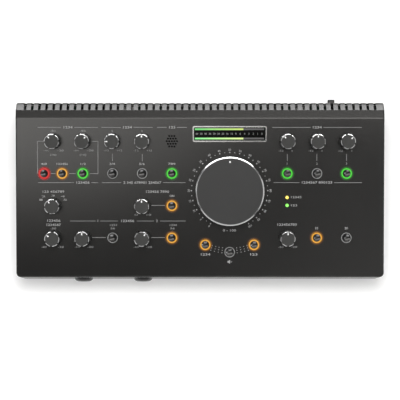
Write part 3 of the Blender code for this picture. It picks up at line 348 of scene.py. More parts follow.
def add_piece(
    name: str, mesh: bpy.types.Mesh, materials: Sequence[bpy.types.Material], body: str,
    replaced: Sequence[str] = (),
) -> bpy.types.Object:
    """Places a finished piece on the body that it moves with.

    Args:
        name: The piece's name.
        mesh: Its mesh, already in place.
        materials: Its finishes, in the order of the mesh's material numbers.
        body: The body that it rides on.
        replaced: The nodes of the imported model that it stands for.

    Returns:
        The piece.
    """
    mesh.name = name
    if mesh.materials:
        mesh.materials.clear()
    for material in materials:
        mesh.materials.append(material)
    piece = link(bpy.data.objects.new(name, mesh))
    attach(piece, body)
    if replaced:
        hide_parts(*replaced)
    LOG.info("%s: %d faces on %s", name, len(mesh.polygons), body)
    return piece


# ---------------------------------------------------------------- shader groups and finishes


def feed(tree: bpy.types.NodeTree, socket: bpy.types.NodeSocket, value: object) -> None:
    """Gives an input its value.

    Args:
        tree: The tree that the input is in.
        socket: The input.
        value: The output that feeds it, or a plain value.
    """
    if isinstance(value, bpy.types.NodeSocket):
        tree.links.new(value, socket)
    else:
        socket.default_value = value


def math_node(tree: bpy.types.NodeTree, operation: str, *values: object) -> bpy.types.NodeSocket:
    """Adds a Math node.

    Args:
        tree: The tree that it goes into.
        operation: What it does.
        values: An output or a number for each of its inputs.

    Returns:
        Its result.
    """
    node = tree.nodes.new("ShaderNodeMath")
    node.operation = operation
    for socket, value in zip(node.inputs, values):
        feed(tree, socket, value)
    return node.outputs[0]


@dataclass(frozen=True)
class Ease:
    """A smooth step of a value from one level to another."""

    start: float
    end: float
    low: float
    high: float

    def add(self, tree: bpy.types.NodeTree, value: bpy.types.NodeSocket) -> bpy.types.NodeSocket:
        """Adds the step to a shader tree.

        Args:
            tree: The tree that it goes into.
            value: The output that it reads.

        Returns:
            The level.
        """
        node = tree.nodes.new("ShaderNodeMapRange")
        node.interpolation_type = "SMOOTHSTEP"
        levels = {"From Min": self.start, "From Max": self.end, "To Min": self.low, "To Max": self.high}
        for label, level in ({"Value": value} | levels).items():
            feed(tree, node.inputs[label], level)
        return node.outputs["Result"]


def new_group(name: str, inputs: dict[str, float | str], outputs: dict[str, str]) -> bpy.types.NodeTree:
    """Makes an empty shader node group with named sockets.

    Args:
        name: The group's name.
        inputs: Each input with its default number, or VECTOR for a place.
        outputs: Each output with its socket type.

    Returns:
        The group, with its input and output nodes.
    """
    tree = bpy.data.node_groups.new(name, "ShaderNodeTree")
    for label, value in inputs.items():
        kind = "NodeSocketVector" if value == "VECTOR" else "NodeSocketFloat"
        socket = tree.interface.new_socket(name=label, in_out="INPUT", socket_type=kind)
        if value != "VECTOR":
            socket.default_value = value
    for label, kind in outputs.items():
        tree.interface.new_socket(name=label, in_out="OUTPUT", socket_type=kind)
    tree.nodes.new("NodeGroupInput").name = "in"
    tree.nodes.new("NodeGroupOutput").name = "out"
    return tree


def surface_grain() -> bpy.types.NodeTree:
    """Gives the group that mixes a fine grain with broad, faint clouds.

    Returns:
        The group, with outputs Tone (clouds and grain from 0 to 1) and Height (the grain alone).
    """
    found = bpy.data.node_groups.get("surface_grain")
    if found:
        return found
    tree = new_group(
        "surface_grain",
        {"Vector": "VECTOR", "Grain Scale": 2000.0, "Cloud Scale": 40.0, "Cloud Share": 0.5},
        {"Tone": "NodeSocketFloat", "Height": "NodeSocketFloat"},
    )
    nodes, links = tree.nodes, tree.links
    grain, clouds = nodes.new("ShaderNodeTexNoise"), nodes.new("ShaderNodeTexNoise")
    grain.inputs["Detail"].default_value = 3.0
    clouds.inputs["Detail"].default_value = 4.0
    clouds.inputs["Roughness"].default_value = 0.6
    mix = nodes.new("ShaderNodeMix")
    source, result = nodes["in"], nodes["out"]
    for noise, scale in ((grain, "Grain Scale"), (clouds, "Cloud Scale")):
        links.new(source.outputs["Vector"], noise.inputs["Vector"])
        links.new(source.outputs[scale], noise.inputs["Scale"])
    links.new(source.outputs["Cloud Share"], mix.inputs["Factor"])
    links.new(grain.outputs["Fac"], mix.inputs["A"])
    links.new(clouds.outputs["Fac"], mix.inputs["B"])
    links.new(mix.outputs["Result"], result.inputs["Tone"])
    links.new(grain.outputs["Fac"], result.inputs["Height"])
    return tree


def new_material(name: str) -> tuple[bpy.types.Material, bpy.types.Node]:
    """Makes a material and gives it with its Principled shader."""
    material = bpy.data.materials.new(name)
    material.use_nodes = True
    return material, material.node_tree.nodes["Principled BSDF"]


@dataclass(frozen=True)
class Finish:
    """A moulded, painted or plated surface: two close tones, a grain and a spread of gloss."""

    name: str
    dark: Colour
    light: Colour
    gloss: Point
    grain_scale: float = 2200.0
    cloud_scale: float = 35.0
    cloud_share: float = 0.6
    relief: float = 0.08
    relief_depth: float = 0.00004
    metallic: float = 0.0
    specular: float = 0.5
    coat: float = 0.0
    coat_roughness: float = 0.05
    stretch: tuple[float, float, float] = (1.0, 1.0, 1.0)
    turn: tuple[float, float, float] = (0.0, 0.0, 0.0)

    def material(self) -> bpy.types.Material:
        """Gives the finish's material, made on first use."""
        return bpy.data.materials.get(self.name) or self.build()

    def build(self) -> bpy.types.Material:
        """Makes the material.

        Returns:
            The new material.
        """
        material, shader = new_material(self.name)
        nodes, links = material.node_tree.nodes, material.node_tree.links
        place, mapping = nodes.new("ShaderNodeTexCoord"), nodes.new("ShaderNodeMapping")
        mapping.inputs["Scale"].default_value = self.stretch
        mapping.inputs["Rotation"].default_value = self.turn
        grain = nodes.new("ShaderNodeGroup")
        grain.node_tree = surface_grain()
        grain.inputs["Grain Scale"].default_value = self.grain_scale
        grain.inputs["Cloud Scale"].default_value = self.cloud_scale
        grain.inputs["Cloud Share"].default_value = self.cloud_share
        ramp, gloss = nodes.new("ShaderNodeValToRGB"), nodes.new("ShaderNodeMapRange")
        bump = nodes.new("ShaderNodeBump")
        ramp.color_ramp.elements[0].position, ramp.color_ramp.elements[1].position = TONE_SPAN
        ramp.color_ramp.elements[0].color = (*self.dark, 1.0)
        ramp.color_ramp.elements[1].color = (*self.light, 1.0)
        gloss.inputs["From Min"].default_value, gloss.inputs["From Max"].default_value = TONE_SPAN
        gloss.inputs["To Min"].default_value, gloss.inputs["To Max"].default_value = self.gloss
        bump.inputs["Strength"].default_value = self.relief
        bump.inputs["Distance"].default_value = self.relief_depth
        links.new(place.outputs["Object"], mapping.inputs["Vector"])
        links.new(mapping.outputs["Vector"], grain.inputs["Vector"])
        links.new(grain.outputs["Tone"], ramp.inputs["Fac"])
        links.new(grain.outputs["Tone"], gloss.inputs["Value"])
        links.new(grain.outputs["Height"], bump.inputs["Height"])
        links.new(ramp.outputs["Color"], shader.inputs["Base Color"])
        links.new(gloss.outputs["Result"], shader.inputs["Roughness"])
        links.new(bump.outputs["Normal"], shader.inputs["Normal"])
        shader.inputs["Metallic"].default_value = self.metallic
        shader.inputs["Specular IOR Level"].default_value = self.specular
        shader.inputs["Coat Weight"].default_value = self.coat
        shader.inputs["Coat Roughness"].default_value = self.coat_roughness
        return material


@dataclass(frozen=True)
class LitFinish(Finish):
    """A clear or tinted moulding with light behind it; on a lit button's skirt it is a painted glow."""

    glow: Colour = (1.0, 1.0, 1.0)
    strength: float = 1.0

    def build(self) -> bpy.types.Material:
        """Makes the material with its light.

        Returns:
            The new material.
        """
        material = super().build()
        nodes, links = material.node_tree.nodes, material.node_tree.links
        shader = nodes["Principled BSDF"]
        grain = next(node for node in nodes if node.type == "GROUP")
        ramp = nodes.new("ShaderNodeValToRGB")
        ramp.color_ramp.elements[0].color = (*(GLOW_DIP * part for part in self.glow), 1.0)
        ramp.color_ramp.elements[1].color = (*self.glow, 1.0)
        links.new(grain.outputs["Tone"], ramp.inputs["Fac"])
        links.new(ramp.outputs["Color"], shader.inputs["Emission Color"])
        shader.inputs["Emission Strength"].default_value = self.strength
        return material


@dataclass(frozen=True)
class HaloFinish:
    """A faint film of painted light on the panel that fades outwards, standing in for the glow that a lit ring casts.
    """

    name: str
    glow: Colour
    most: float

    def material(self) -> bpy.types.Material:
        """Gives the finish's material, made on first use.

        Returns:
            The material, whose film thins out with the mesh's own fade attribute.
        """
        found = bpy.data.materials.get(self.name)
        if found:
            return found
        material, shader = new_material(self.name)
        nodes, links = material.node_tree.nodes, material.node_tree.links
        fade, scale = nodes.new("ShaderNodeAttribute"), nodes.new("ShaderNodeMapRange")
        fade.attribute_name = FADE
        scale.inputs["To Max"].default_value = self.most
        links.new(fade.outputs["Fac"], scale.inputs["Value"])
        links.new(scale.outputs["Result"], shader.inputs["Alpha"])
        shader.inputs["Base Color"].default_value = (0.01, 0.01, 0.01, 1.0)
        shader.inputs["Roughness"].default_value = 0.4
        shader.inputs["Emission Color"].default_value = (*self.glow, 1.0)
        shader.inputs["Emission Strength"].default_value = 1.0
        return material


@dataclass(frozen=True)
class BarFinish(Finish):
    """A lit meter row whose light turns from green to yellow across the meter."""

    start: Colour = (0.15, 0.53, 0.16)
    end: Colour = (0.58, 0.63, 0.21)
    start_x: float = 0.0
    end_x: float = 0.04

    def build(self) -> bpy.types.Material:
        """Makes the material with its graded light.

        Returns:
            The new material.
        """
        material = super().build()
        nodes, links = material.node_tree.nodes, material.node_tree.links
        shader = nodes["Principled BSDF"]
        split, across = nodes.new("ShaderNodeSeparateXYZ"), nodes.new("ShaderNodeMapRange")
        ramp = nodes.new("ShaderNodeValToRGB")
        place = next(node for node in nodes if node.type == "TEX_COORD")
        across.inputs["From Min"].default_value, across.inputs["From Max"].default_value = self.start_x, self.end_x
        ramp.color_ramp.elements[0].color = (*self.start, 1.0)
        ramp.color_ramp.elements[1].color = (*self.end, 1.0)
        links.new(place.outputs["Object"], split.inputs["Vector"])
        links.new(split.outputs["X"], across.inputs["Value"])
        links.new(across.outputs["Result"], ramp.inputs["Fac"])
        links.new(ramp.outputs["Color"], shader.inputs["Emission Color"])
        shader.inputs["Emission Strength"].default_value = 1.0
        return material


def grey(value: float) -> Colour:
    """Gives a neutral colour."""
    return (value, value, value)


PAINT = Finish("satin_paint", (0.0058, 0.0056, 0.0053), (0.0072, 0.0070, 0.0067), (0.17, 0.20), grain_scale=2600.0,
               cloud_share=0.35, relief=0.05, specular=0.5)
ZINC = Finish("zinc_plate", (0.36, 0.37, 0.38), (0.52, 0.53, 0.54), (0.28, 0.42), grain_scale=900.0, metallic=1.0,
              stretch=(1.0, 8.0, 8.0), relief=0.05)
RUBBER = Finish("foot_rubber", grey(0.012), grey(0.022), (0.7, 0.9), grain_scale=3500.0, relief=0.25)
BOARD = Finish("solder_mask", (0.004, 0.035, 0.015), (0.008, 0.07, 0.03), (0.3, 0.45), cloud_scale=300.0)
KNOB = Finish("knob_moulding", (0.030, 0.030, 0.029), (0.036, 0.036, 0.035), (0.42, 0.52), grain_scale=4000.0,
              relief=0.12, specular=0.28)
RIM = Finish("diamond_cut_rim", grey(0.5), grey(0.62), (0.16, 0.24), grain_scale=5000.0, metallic=1.0, relief=0.03)
DIAL_FACE = Finish("anodised_face", (0.026, 0.026, 0.026), (0.032, 0.032, 0.032), (0.4, 0.48), grain_scale=3800.0,
                   relief=0.08, specular=0.28)
BUTTON_CAP = Finish(
    "gloss_moulding", grey(0.006), grey(0.012), (0.06, 0.12), grain_scale=1500.0, relief=0.02, coat=0.3
)
INK = Finish("line_ink", grey(0.18), grey(0.22), (0.45, 0.6), grain_scale=5000.0)
BOLD_INK = Finish("heading_ink", grey(0.27), grey(0.33), (0.45, 0.6), grain_scale=5000.0)
DIM_INK = Finish("scale_ink", grey(0.21), grey(0.26), (0.45, 0.6), grain_scale=5000.0)
POINTER = Finish("pointer_ink", grey(0.75), grey(0.85), (0.4, 0.5), grain_scale=5000.0)
BEZEL = Finish("polished_bezel", grey(0.42), grey(0.5), (0.12, 0.2), grain_scale=2500.0, metallic=1.0, relief=0.02)
GLASS = Finish("smoked_window_glass", grey(0.002), grey(0.004), (0.05, 0.09), relief=0.01, specular=0.08)
CAPSULE = Finish("capsule_screen", grey(0.001), grey(0.003), (0.7, 0.9), grain_scale=3000.0, relief=0.3, specular=0.0)
SOCKET_BLACK = Finish("socket_moulding", grey(0.010), grey(0.016), (0.2, 0.3), grain_scale=1800.0, relief=0.06)
NICKEL = Finish("nickel_plate", grey(0.55), grey(0.68), (0.2, 0.32), grain_scale=1600.0, metallic=1.0, relief=0.04)
RING_OFF = Finish("unlit_ring", grey(0.26), grey(0.32), (0.2, 0.3), relief=0.02)
RING_LIT = {
    Light.RED: LitFinish(
        "red_ring", (0.05, 0.003, 0.003), (0.06, 0.004, 0.004), (0.2, 0.3), glow=(0.62, 0.014, 0.014)
    ),
    Light.AMBER: LitFinish(
        "amber_ring", (0.06, 0.03, 0.004), (0.07, 0.04, 0.005), (0.2, 0.3), glow=(0.84, 0.40, 0.045)
    ),
    Light.GREEN: LitFinish(
        "green_ring", (0.004, 0.06, 0.004), (0.005, 0.07, 0.005), (0.2, 0.3), glow=(0.075, 0.70, 0.045)
    ),
}
# Painted glow on the skirts of lit buttons: the dark cap's slope shines as if lit by its ring.
SKIRT_PAINTED_GLOW = {
    Light.RED: LitFinish(
        "red_skirt_painted_glow", (0.02, 0.004, 0.004), (0.03, 0.005, 0.005), (0.1, 0.2), glow=(0.3, 0.005, 0.005)
    ),
    Light.AMBER: LitFinish(
        "amber_skirt_painted_glow", (0.02, 0.01, 0.004), (0.03, 0.02, 0.005), (0.1, 0.2), glow=(0.16, 0.06, 0.002)
    ),
    Light.GREEN: LitFinish(
        "green_skirt_painted_glow", (0.004, 0.02, 0.004), (0.005, 0.03, 0.005), (0.1, 0.2), glow=(0.01, 0.15, 0.01)
    ),
}
# Painted glow: emissive films on the panel round the lit buttons, standing in for the light their rings cast.
HALO_LIT = {
    Light.RED: HaloFinish("red_halo", (0.55, 0.008, 0.008), 0.85),
    Light.AMBER: HaloFinish("amber_halo", (0.36, 0.13, 0.002), 0.75),
    Light.GREEN: HaloFinish("green_halo", (0.02, 0.28, 0.01), 0.75),
}
LAMP_YELLOW = LitFinish(
    "yellow_lamp", (0.8, 0.6, 0.1), (0.9, 0.7, 0.15), (0.1, 0.2), glow=(1.0, 0.75, 0.12), strength=1.0
)
LAMP_GREEN = LitFinish(
    "green_lamp", (0.2, 0.7, 0.1), (0.25, 0.8, 0.15), (0.1, 0.2), glow=(0.22, 0.9, 0.12), strength=1.0
)
BAR_UNLIT = Finish("unlit_segment", grey(0.07), grey(0.09), (0.3, 0.4))
BAR_LIT = (
    BarFinish(
        "upper_row_light", (0.05, 0.2, 0.05), (0.06, 0.25, 0.06), (0.2, 0.3), start=(0.13, 0.50, 0.15),
        end=(0.62, 0.56, 0.12)
    ),
    BarFinish(
        "lower_row_light", (0.05, 0.2, 0.05), (0.06, 0.25, 0.06), (0.2, 0.3), start=(0.22, 0.66, 0.25),
        end=(0.80, 0.82, 0.30)
    ),
)


# ---------------------------------------------------------------- where things are


@dataclass(frozen=True)
class Panel:
    """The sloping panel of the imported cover, and its grid of controls."""

    slope: float = math.radians(7.3)
    rear_bend_radius: float = 8.0 * MM
    chamfer_drop: float = 5.6 * MM
    ledge_run: float = 7.3 * MM
    columns: tuple[float, float, float, float] = (0.7965, 0.7946, 0.1609, 0.1607)
    rows: Point = (0.1448, 0.2022)
    left_columns: int = 5
    last_column: int = 7

    @property
    def box(self) -> tuple[Vector, Vector]:
        """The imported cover's lowest and highest corners."""
        return COVER_BOX

    @property
    def half_width(self) -> float:
        """Half the housing's width."""
        return self.box[1].x

    @property
    def crease_y(self) -> float:
        """Where the chamfer meets the level ledge."""
        run = self.rear_bend_radius * (1 - math.sin(math.pi / 4))
        return self.box[1].y - run - self.chamfer_drop

    @property
    def bend_y(self) -> float:
        """Where the level ledge meets the sloping panel."""
        return self.crease_y - self.ledge_run

    @property
    def ledge_z(self) -> float:
        """The height of the level ledge."""
        return self.box[1].z

    @property
    def length(self) -> float:
        """The panel's length down the slope."""
        return (self.bend_y - self.box[0].y) / math.cos(self.slope)

    @property
    def front_top_z(self) -> float:
        """The height of the panel's front edge."""
        return self.ledge_z - self.length * math.sin(self.slope)

    @property
    def middle_x(self) -> float:
        """The place across of the volume knob's column."""
        return self.columns[3] * self.half_width

    def column(self, number: int) -> float:
        """Gives the place across of a grid column.

        Args:
            number: The column, counted from the left.

        Returns:
            Its place along X.
        """
        left, right, pitch, _ = self.columns
        if number < self.left_columns:
            return (number * pitch - left) * self.half_width
        return (right - (self.last_column - number) * pitch) * self.half_width

    def row(self, number: int) -> float:
        """Gives the distance of a grid row from the rear bend, down the slope."""
        first, pitch = self.rows
        return (first + number * pitch) * self.length

    def place(self, across: float = 0.0, along: float = 0.0, lift: float = 0.0) -> Matrix:
        """Gives the matrix of a place on the panel.

        Args:
            across: The place along X.
            along: The distance from the rear bend down the slope.
            lift: The height over the panel's face.

        Returns:
            A matrix whose Z axis stands square on the panel.
        """
        plane = Matrix.Translation((0, self.bend_y, self.ledge_z)) @ Matrix.Rotation(self.slope, 4, "X")
        return plane @ Matrix.Translation((across, -along, lift))


PANEL = Panel()


# ---------------------------------------------------------------- Geometry Nodes


SOCKET_KINDS = {int: "NodeSocketInt", float: "NodeSocketFloat", type(None): "NodeSocketMaterial"}


class NodeRecipe:
    """A Geometry Nodes tree with named inputs, run once on a bare object and turned into a plain mesh."""

    def __init__(self, name: str, inputs: dict[str, float | int | None]) -> None:
        """Makes the tree with its inputs.

        Args:
            name: The tree's name.
            inputs: Each input's name with its default: a length, a count, or none for a material.
        """
        self.tree = bpy.data.node_groups.new(name, "GeometryNodeTree")
        interface = self.tree.interface
        interface.new_socket(name="Geometry", in_out="INPUT", socket_type="NodeSocketGeometry")
        self.sockets = {}
        for label, value in inputs.items():
            socket = interface.new_socket(name=label, in_out="INPUT", socket_type=SOCKET_KINDS[type(value)])
            if value is not None:
                socket.default_value = value
            self.sockets[label] = socket.identifier
        interface.new_socket(name="Geometry", in_out="OUTPUT", socket_type="NodeSocketGeometry")
        self.source = self.tree.nodes.new("NodeGroupInput")
        self.result = self.tree.nodes.new("NodeGroupOutput")

    def node(self, kind: str, inputs: dict[str, object] | None = None, **settings: object) -> bpy.types.Node:
        """Adds a node.

        Args:
            kind: The node's type.
            inputs: An output or a plain value for each named input.
            settings: Its properties.

        Returns:
            The node.
        """
        node = self.tree.nodes.new(kind)
        for label, value in settings.items():
            setattr(node, label, value)
        for label, value in (inputs or {}).items():
            feed(self.tree, node.inputs[label], value)
        return node

    def math(self, operation: str, *values: object) -> bpy.types.NodeSocket:
        """Adds a Math node on numbers or outputs and gives its result."""
        return math_node(self.tree, operation, *values)

    def vector(self, x: object = 0.0, y: object = 0.0, z: object = 0.0) -> bpy.types.NodeSocket:
        """Joins three numbers or outputs into a vector."""
        return self.node("ShaderNodeCombineXYZ", {"X": x, "Y": y, "Z": z}).outputs[0]

    def row(self, start: bpy.types.NodeSocket | None = None) -> bpy.types.NodeSocket:
        """Adds a row of points along X with the tree's own Count and Pitch.

        Args:
            start: Where the row starts, where that isn't the origin.

        Returns:
            The points.
        """
        inputs = {"Count": self.source.outputs["Count"], "Offset": self.vector(self.source.outputs["Pitch"])}
        if start is not None:
            inputs["Start Location"] = start
        return self.node("GeometryNodeMeshLine", inputs).outputs["Mesh"]

    def end(self, points: bpy.types.NodeSocket, instance: bpy.types.NodeSocket) -> None:
        """Copies a mesh onto points and ends the tree in Realize Instances and Set Material.

        Args:
            points: The points.
            instance: The mesh.
        """
        copies = self.node("GeometryNodeInstanceOnPoints", {"Points": points, "Instance": instance})
        realize = self.node("GeometryNodeRealizeInstances", {"Geometry": copies.outputs["Instances"]})
        paint = self.node("GeometryNodeSetMaterial", {
            "Geometry": realize.outputs["Geometry"], "Material": self.source.outputs["Material"],
        })
        feed(self.tree, self.result.inputs["Geometry"], paint.outputs["Geometry"])

    def run(self, values: dict[str, object]) -> bpy.types.Mesh:
        """Runs the tree with its own values.

        Args:
            values: The value of each named input.

        Returns:
            The plain mesh that the tree makes.
        """
        mesh = bpy.data.meshes.new(self.tree.name)
        item = link(bpy.data.objects.new(self.tree.name, mesh))
        modifier = item.modifiers.new(self.tree.name, "NODES")
        modifier.node_group = self.tree
        for label, value in values.items():
            modifier[self.sockets[label]] = value
        result = evaluated_mesh(item)
        item.modifiers.clear()
        bpy.data.objects.remove(item, do_unlink=True)
        bpy.data.meshes.remove(mesh)
        return result


def slot_row_recipe() -> NodeRecipe:
    """Makes the tree of the vent slots: a row of round-ended prisms, used to cut the cover.

    Returns:
        The recipe, with inputs Count, Pitch, Width, Length, Depth and Material.
    """
    recipe = NodeRecipe("vent_slots", {
        "Count": 50, "Pitch": 0.006, "Width": 0.002, "Length": 0.01, "Depth": 0.01, "Material": None,
    })
    source = recipe.source.outputs
    outline = recipe.node("GeometryNodeCurvePrimitiveQuadrilateral", {
        "Width": source["Width"], "Height": source["Length"],
    })
    fillet = recipe.node("GeometryNodeFilletCurve", {
        "Curve": outline.outputs["Curve"], "Radius": recipe.math("MULTIPLY", source["Width"], 0.499), "Count": 5,
    }, mode="POLY")
    fill = recipe.node("GeometryNodeFillCurve", {"Curve": fillet.outputs["Curve"]}, mode="NGONS").outputs["Mesh"]
    raised = recipe.node("GeometryNodeExtrudeMesh", {
        "Mesh": fill, "Offset": recipe.vector(0.0, 0.0, 1.0), "Offset Scale": source["Depth"], "Individual": False,
    }, mode="FACES")
    flipped = recipe.node("GeometryNodeFlipFaces", {"Mesh": fill})
    closed = recipe.node("GeometryNodeJoinGeometry", {"Geometry": raised.outputs["Mesh"]})
    feed(recipe.tree, closed.inputs["Geometry"], flipped.outputs["Mesh"])
    merged = recipe.node("GeometryNodeMergeByDistance", {
        "Geometry": closed.outputs["Geometry"], "Distance": MERGE_DISTANCE,
    })
    half = recipe.math("MULTIPLY", recipe.math("SUBTRACT", source["Count"], 1.0), -0.5)
    start = recipe.vector(recipe.math("MULTIPLY", half, source["Pitch"]))
    recipe.end(recipe.row(start), merged.outputs["Geometry"])
    return recipe


def dot_arc_recipe() -> NodeRecipe:
    """Makes the tree of a dial's dots: short round rods on an arc about the origin.

    Returns:
        The recipe, with inputs Count, Start, Step, Radius, Dot Radius, Thickness and Material.
    """
    recipe = NodeRecipe("dial_dots", {
        "Count": 21, "Start": 0.0, "Step": 0.2, "Radius": 0.03, "Dot Radius": 0.0005, "Thickness": 0.0001,
        "Material": None,
    })
    source = recipe.source.outputs
    points = recipe.node("GeometryNodeMeshLine", {"Count": source["Count"]})
    index = recipe.node("GeometryNodeInputIndex").outputs[0]
    angle = recipe.math("ADD", source["Start"], recipe.math("MULTIPLY", index, source["Step"]))
    across, up = (
        recipe.math("MULTIPLY", source["Radius"], recipe.math(wave, angle)) for wave in ("SINE", "COSINE")
    )
    moved = recipe.node("GeometryNodeSetPosition", {
        "Geometry": points.outputs["Mesh"], "Position": recipe.vector(across, up),
    })
    dot = recipe.node("GeometryNodeMeshCylinder", {
        "Vertices": 12, "Radius": source["Dot Radius"], "Depth": source["Thickness"],
    })
    recipe.end(moved.outputs["Geometry"], dot.outputs["Mesh"])
    return recipe


def block_row_recipe() -> NodeRecipe:
    """Makes the tree of a row of small blocks, such as a meter's segments.

    Returns:
        The recipe, with inputs Count, Pitch, Width, Length, Height and Material.
    """
    recipe = NodeRecipe("block_row", {
        "Count": 10, "Pitch": 0.002, "Width": 0.001, "Length": 0.001, "Height": 0.0001, "Material": None,
    })
    source = recipe.source.outputs
    size = recipe.vector(source["Width"], source["Length"], source["Height"])
    recipe.end(recipe.row(), recipe.node("GeometryNodeMeshCube", {"Size": size}).outputs["Mesh"])
    return recipe


# ---------------------------------------------------------------- the housing


@dataclass
class Cover:
    """The folded steel cover with its bends, vent slots and control holes."""

    sheet: float = 1.2 * MM
    fold_radius: float = 1.2 * MM
    fold_steps: int = 4
    bend_steps: int = 10
    ledge_bend_radius: float = 16.0 * MM
    front_corner_radius: float = 4.0 * MM
    front_corner_steps: int = 8
    side_return: float = 2.0 * MM
    rear_flange: float = 11.0 * MM
    slot_count: int = 50
    slot_pitch: float = 6.45 * MM
    slot_width: float = 2.4 * MM
    slot_length: float = 17.0 * MM
    clearance: float = 0.3 * MM
    overrun: float = 2.0 * MM
    grille_rows: tuple[int, ...] = (3, 4, 5, 4, 3)
    grille_pitch: float = 2.35 * MM
    grille_hole: tuple[float, int] = (0.88 * MM, 12)
    knob_hole: tuple[float, int] = (4.7 * MM, 16)
    lamp_hole: tuple[float, int] = (1.7 * MM, 24)
    button_hole_sides: int = 40
    phones_hole_sides: int = 32

    def side_outline(self) -> list[Vector]:
        """Gives the housing's outline seen from the side, as places along Y and Z.

        Returns:
            The closed outline with its round bends.
        """
        low, high = PANEL.box
        bend = PANEL.rear_bend_radius
        wall_corner = PANEL.ledge_z - PANEL.chamfer_drop - bend * math.cos(math.pi / 4) + bend * math.tan(math.pi / 8)
        return rounded_outline([
            ((low.y, low.z), 0, 0),
            ((high.y, low.z), 0, 0),
            ((high.y, wall_corner), bend, self.bend_steps),
            ((PANEL.crease_y, PANEL.ledge_z), 0, 0),
            ((PANEL.bend_y, PANEL.ledge_z), self.ledge_bend_radius, self.bend_steps // 2),
            ((low.y, PANEL.front_top_z), 0, 0),
        ])

    def block(self) -> bpy.types.Mesh:
        """Makes the solid wedge within its rounded plan.

        Returns:
            The wedge's mesh.
        """
        low, high = PANEL.box
        across = Matrix(((0, 0, 1, 0), (1, 0, 0, 0), (0, 1, 0, 0), (0, 0, 0, 1)))
        reach = high.x + self.overrun
        side = to_mesh(prism(self.side_outline(), -reach, reach), "wedge", across)
        corner = (self.front_corner_radius, self.front_corner_steps)
        plan = prism(rounded_outline([
            ((-high.x, low.y), *corner), ((high.x, low.y), *corner),
            ((high.x, high.y + self.overrun), 0, 0), ((-high.x, high.y + self.overrun), 0, 0),
        ]), -self.overrun, high.z + self.overrun)
        return boolean(side, to_mesh(plan, "plan"), "INTERSECT")

    def shell(self) -> bpy.types.Mesh:
        """Opens the wedge underneath, rounds its folds and gives it its wall.

        Returns:
            The walled shell.
        """
        bm = joined([self.block()])
        bmesh.ops.remove_doubles(bm, verts=bm.verts, dist=MERGE_DISTANCE)
        bmesh.ops.dissolve_limit(bm, angle_limit=FLAT_ANGLE, verts=bm.verts, edges=bm.edges)
        floor = [face for face in bm.faces if face.normal.z < -PLATE_TILT]
        bmesh.ops.delete(bm, geom=floor, context="FACES")
        folds = [
            edge for edge in bm.edges
            if len(edge.link_faces) == 2 and edge.calc_face_angle() > FOLD_ANGLE
        ]
        bmesh.ops.bevel(
            bm, geom=folds, offset=self.fold_radius, offset_type="OFFSET", segments=self.fold_steps, profile=0.5,
            affect="EDGES",
        )
        item = link(bpy.data.objects.new("shell", to_mesh(bm, "shell")))
        wall = item.modifiers.new("sheet", "SOLIDIFY")
        wall.thickness, wall.offset, wall.use_even_offset = self.sheet, -1.0, True
        return baked(item)

    def slots(self) -> bpy.types.Mesh:
        """Makes the cutters of the vent slots, square to the chamfer and lapping onto the rear wall.

        Returns:
            The cutters' mesh.
        """
        depth = self.slot_length * math.sin(math.pi / 4) + self.overrun
        mesh = slot_row_recipe().run({
            "Count": self.slot_count, "Pitch": self.slot_pitch, "Width": self.slot_width,
            "Length": self.slot_length, "Depth": depth, "Material": PAINT.material(),
        })
        turn = Matrix.Translation((0, PANEL.crease_y, PANEL.ledge_z)) @ Matrix.Rotation(-math.pi / 4, 4, "X")
        return to_mesh(
            joined([mesh]), "slots", turn @ Matrix.Translation((0, self.slot_length / 2, self.overrun - depth))
        )

    def grille_places(self) -> list[Point]:
        """Gives the places of the microphone grille's holes.

        Returns:
            Their places about the grille's middle, in a hexagon.
        """
        places = []
        middle_row = (len(self.grille_rows) - 1) / 2
        for row, count in enumerate(self.grille_rows):
            for hole in range(count):
                across, down = hole - (count - 1) / 2, row - middle_row
                places.append((across * self.grille_pitch, down * self.grille_pitch))
        return places

    def holes(self, buttons: "ButtonSet", meter: "Meter", phones: "PhonesSockets") -> bpy.types.Mesh:
        """Makes the cutters of every hole in the panel and the walls.

        Args:
            buttons: The buttons, which say where their holes are.
            meter: The level meter, with its window's size.
            phones: The sockets in the front wall.

        Returns:
            The cutters' mesh.
        """
        low, high = -(self.sheet + self.overrun), self.overrun
        rods = [(*self.knob_hole, PANEL.place(*place)) for place in PANEL_KNOB_PLACES.values()]
        button_hole = (buttons.radius + self.clearance, self.button_hole_sides)
        rods += [(*button_hole, PANEL.place(*place)) for place in buttons.places().values()]
        rods += [(*self.lamp_hole, PANEL.place(PANEL.column(5), along)) for along in LAMP_ALONG]
        rods += [
            (*self.grille_hole, PANEL.place(PANEL.column(4) + across, PANEL.row(0) - down))
            for across, down in self.grille_places()
        ]
        phones_hole = (phones.nose_radius + self.clearance, self.phones_hole_sides)
        rods += [(*phones_hole, phones.place(name)) for name in phones.names]
        bm = bmesh.new()
        for radius, sides, place in rods:
            add_rod(bm, radius, low, high, sides, place)
        window = bmesh.new()
        half_width, half_length = meter.width / 2 - meter.border, meter.length / 2 - meter.border
        add_box(window, (-half_width, -half_length, low), (half_width, half_length, high))
        window = to_mesh(window, "window", PANEL.place(PANEL.middle_x, meter.along))
        box_low, box_high = PANEL.box
        inner = box_high.x - self.sheet - self.side_return
        bend_drop = PANEL.rear_bend_radius * math.cos(math.pi / 4)
        rear_top = PANEL.ledge_z - PANEL.chamfer_drop - bend_drop - self.rear_flange
        add_box(
            bm, (-inner, box_high.y - self.sheet - self.overrun, box_low.z - self.overrun),
            (inner, box_high.y + self.overrun, rear_top),
        )
        return to_mesh(joined([to_mesh(bm, "holes"), window]), "holes")

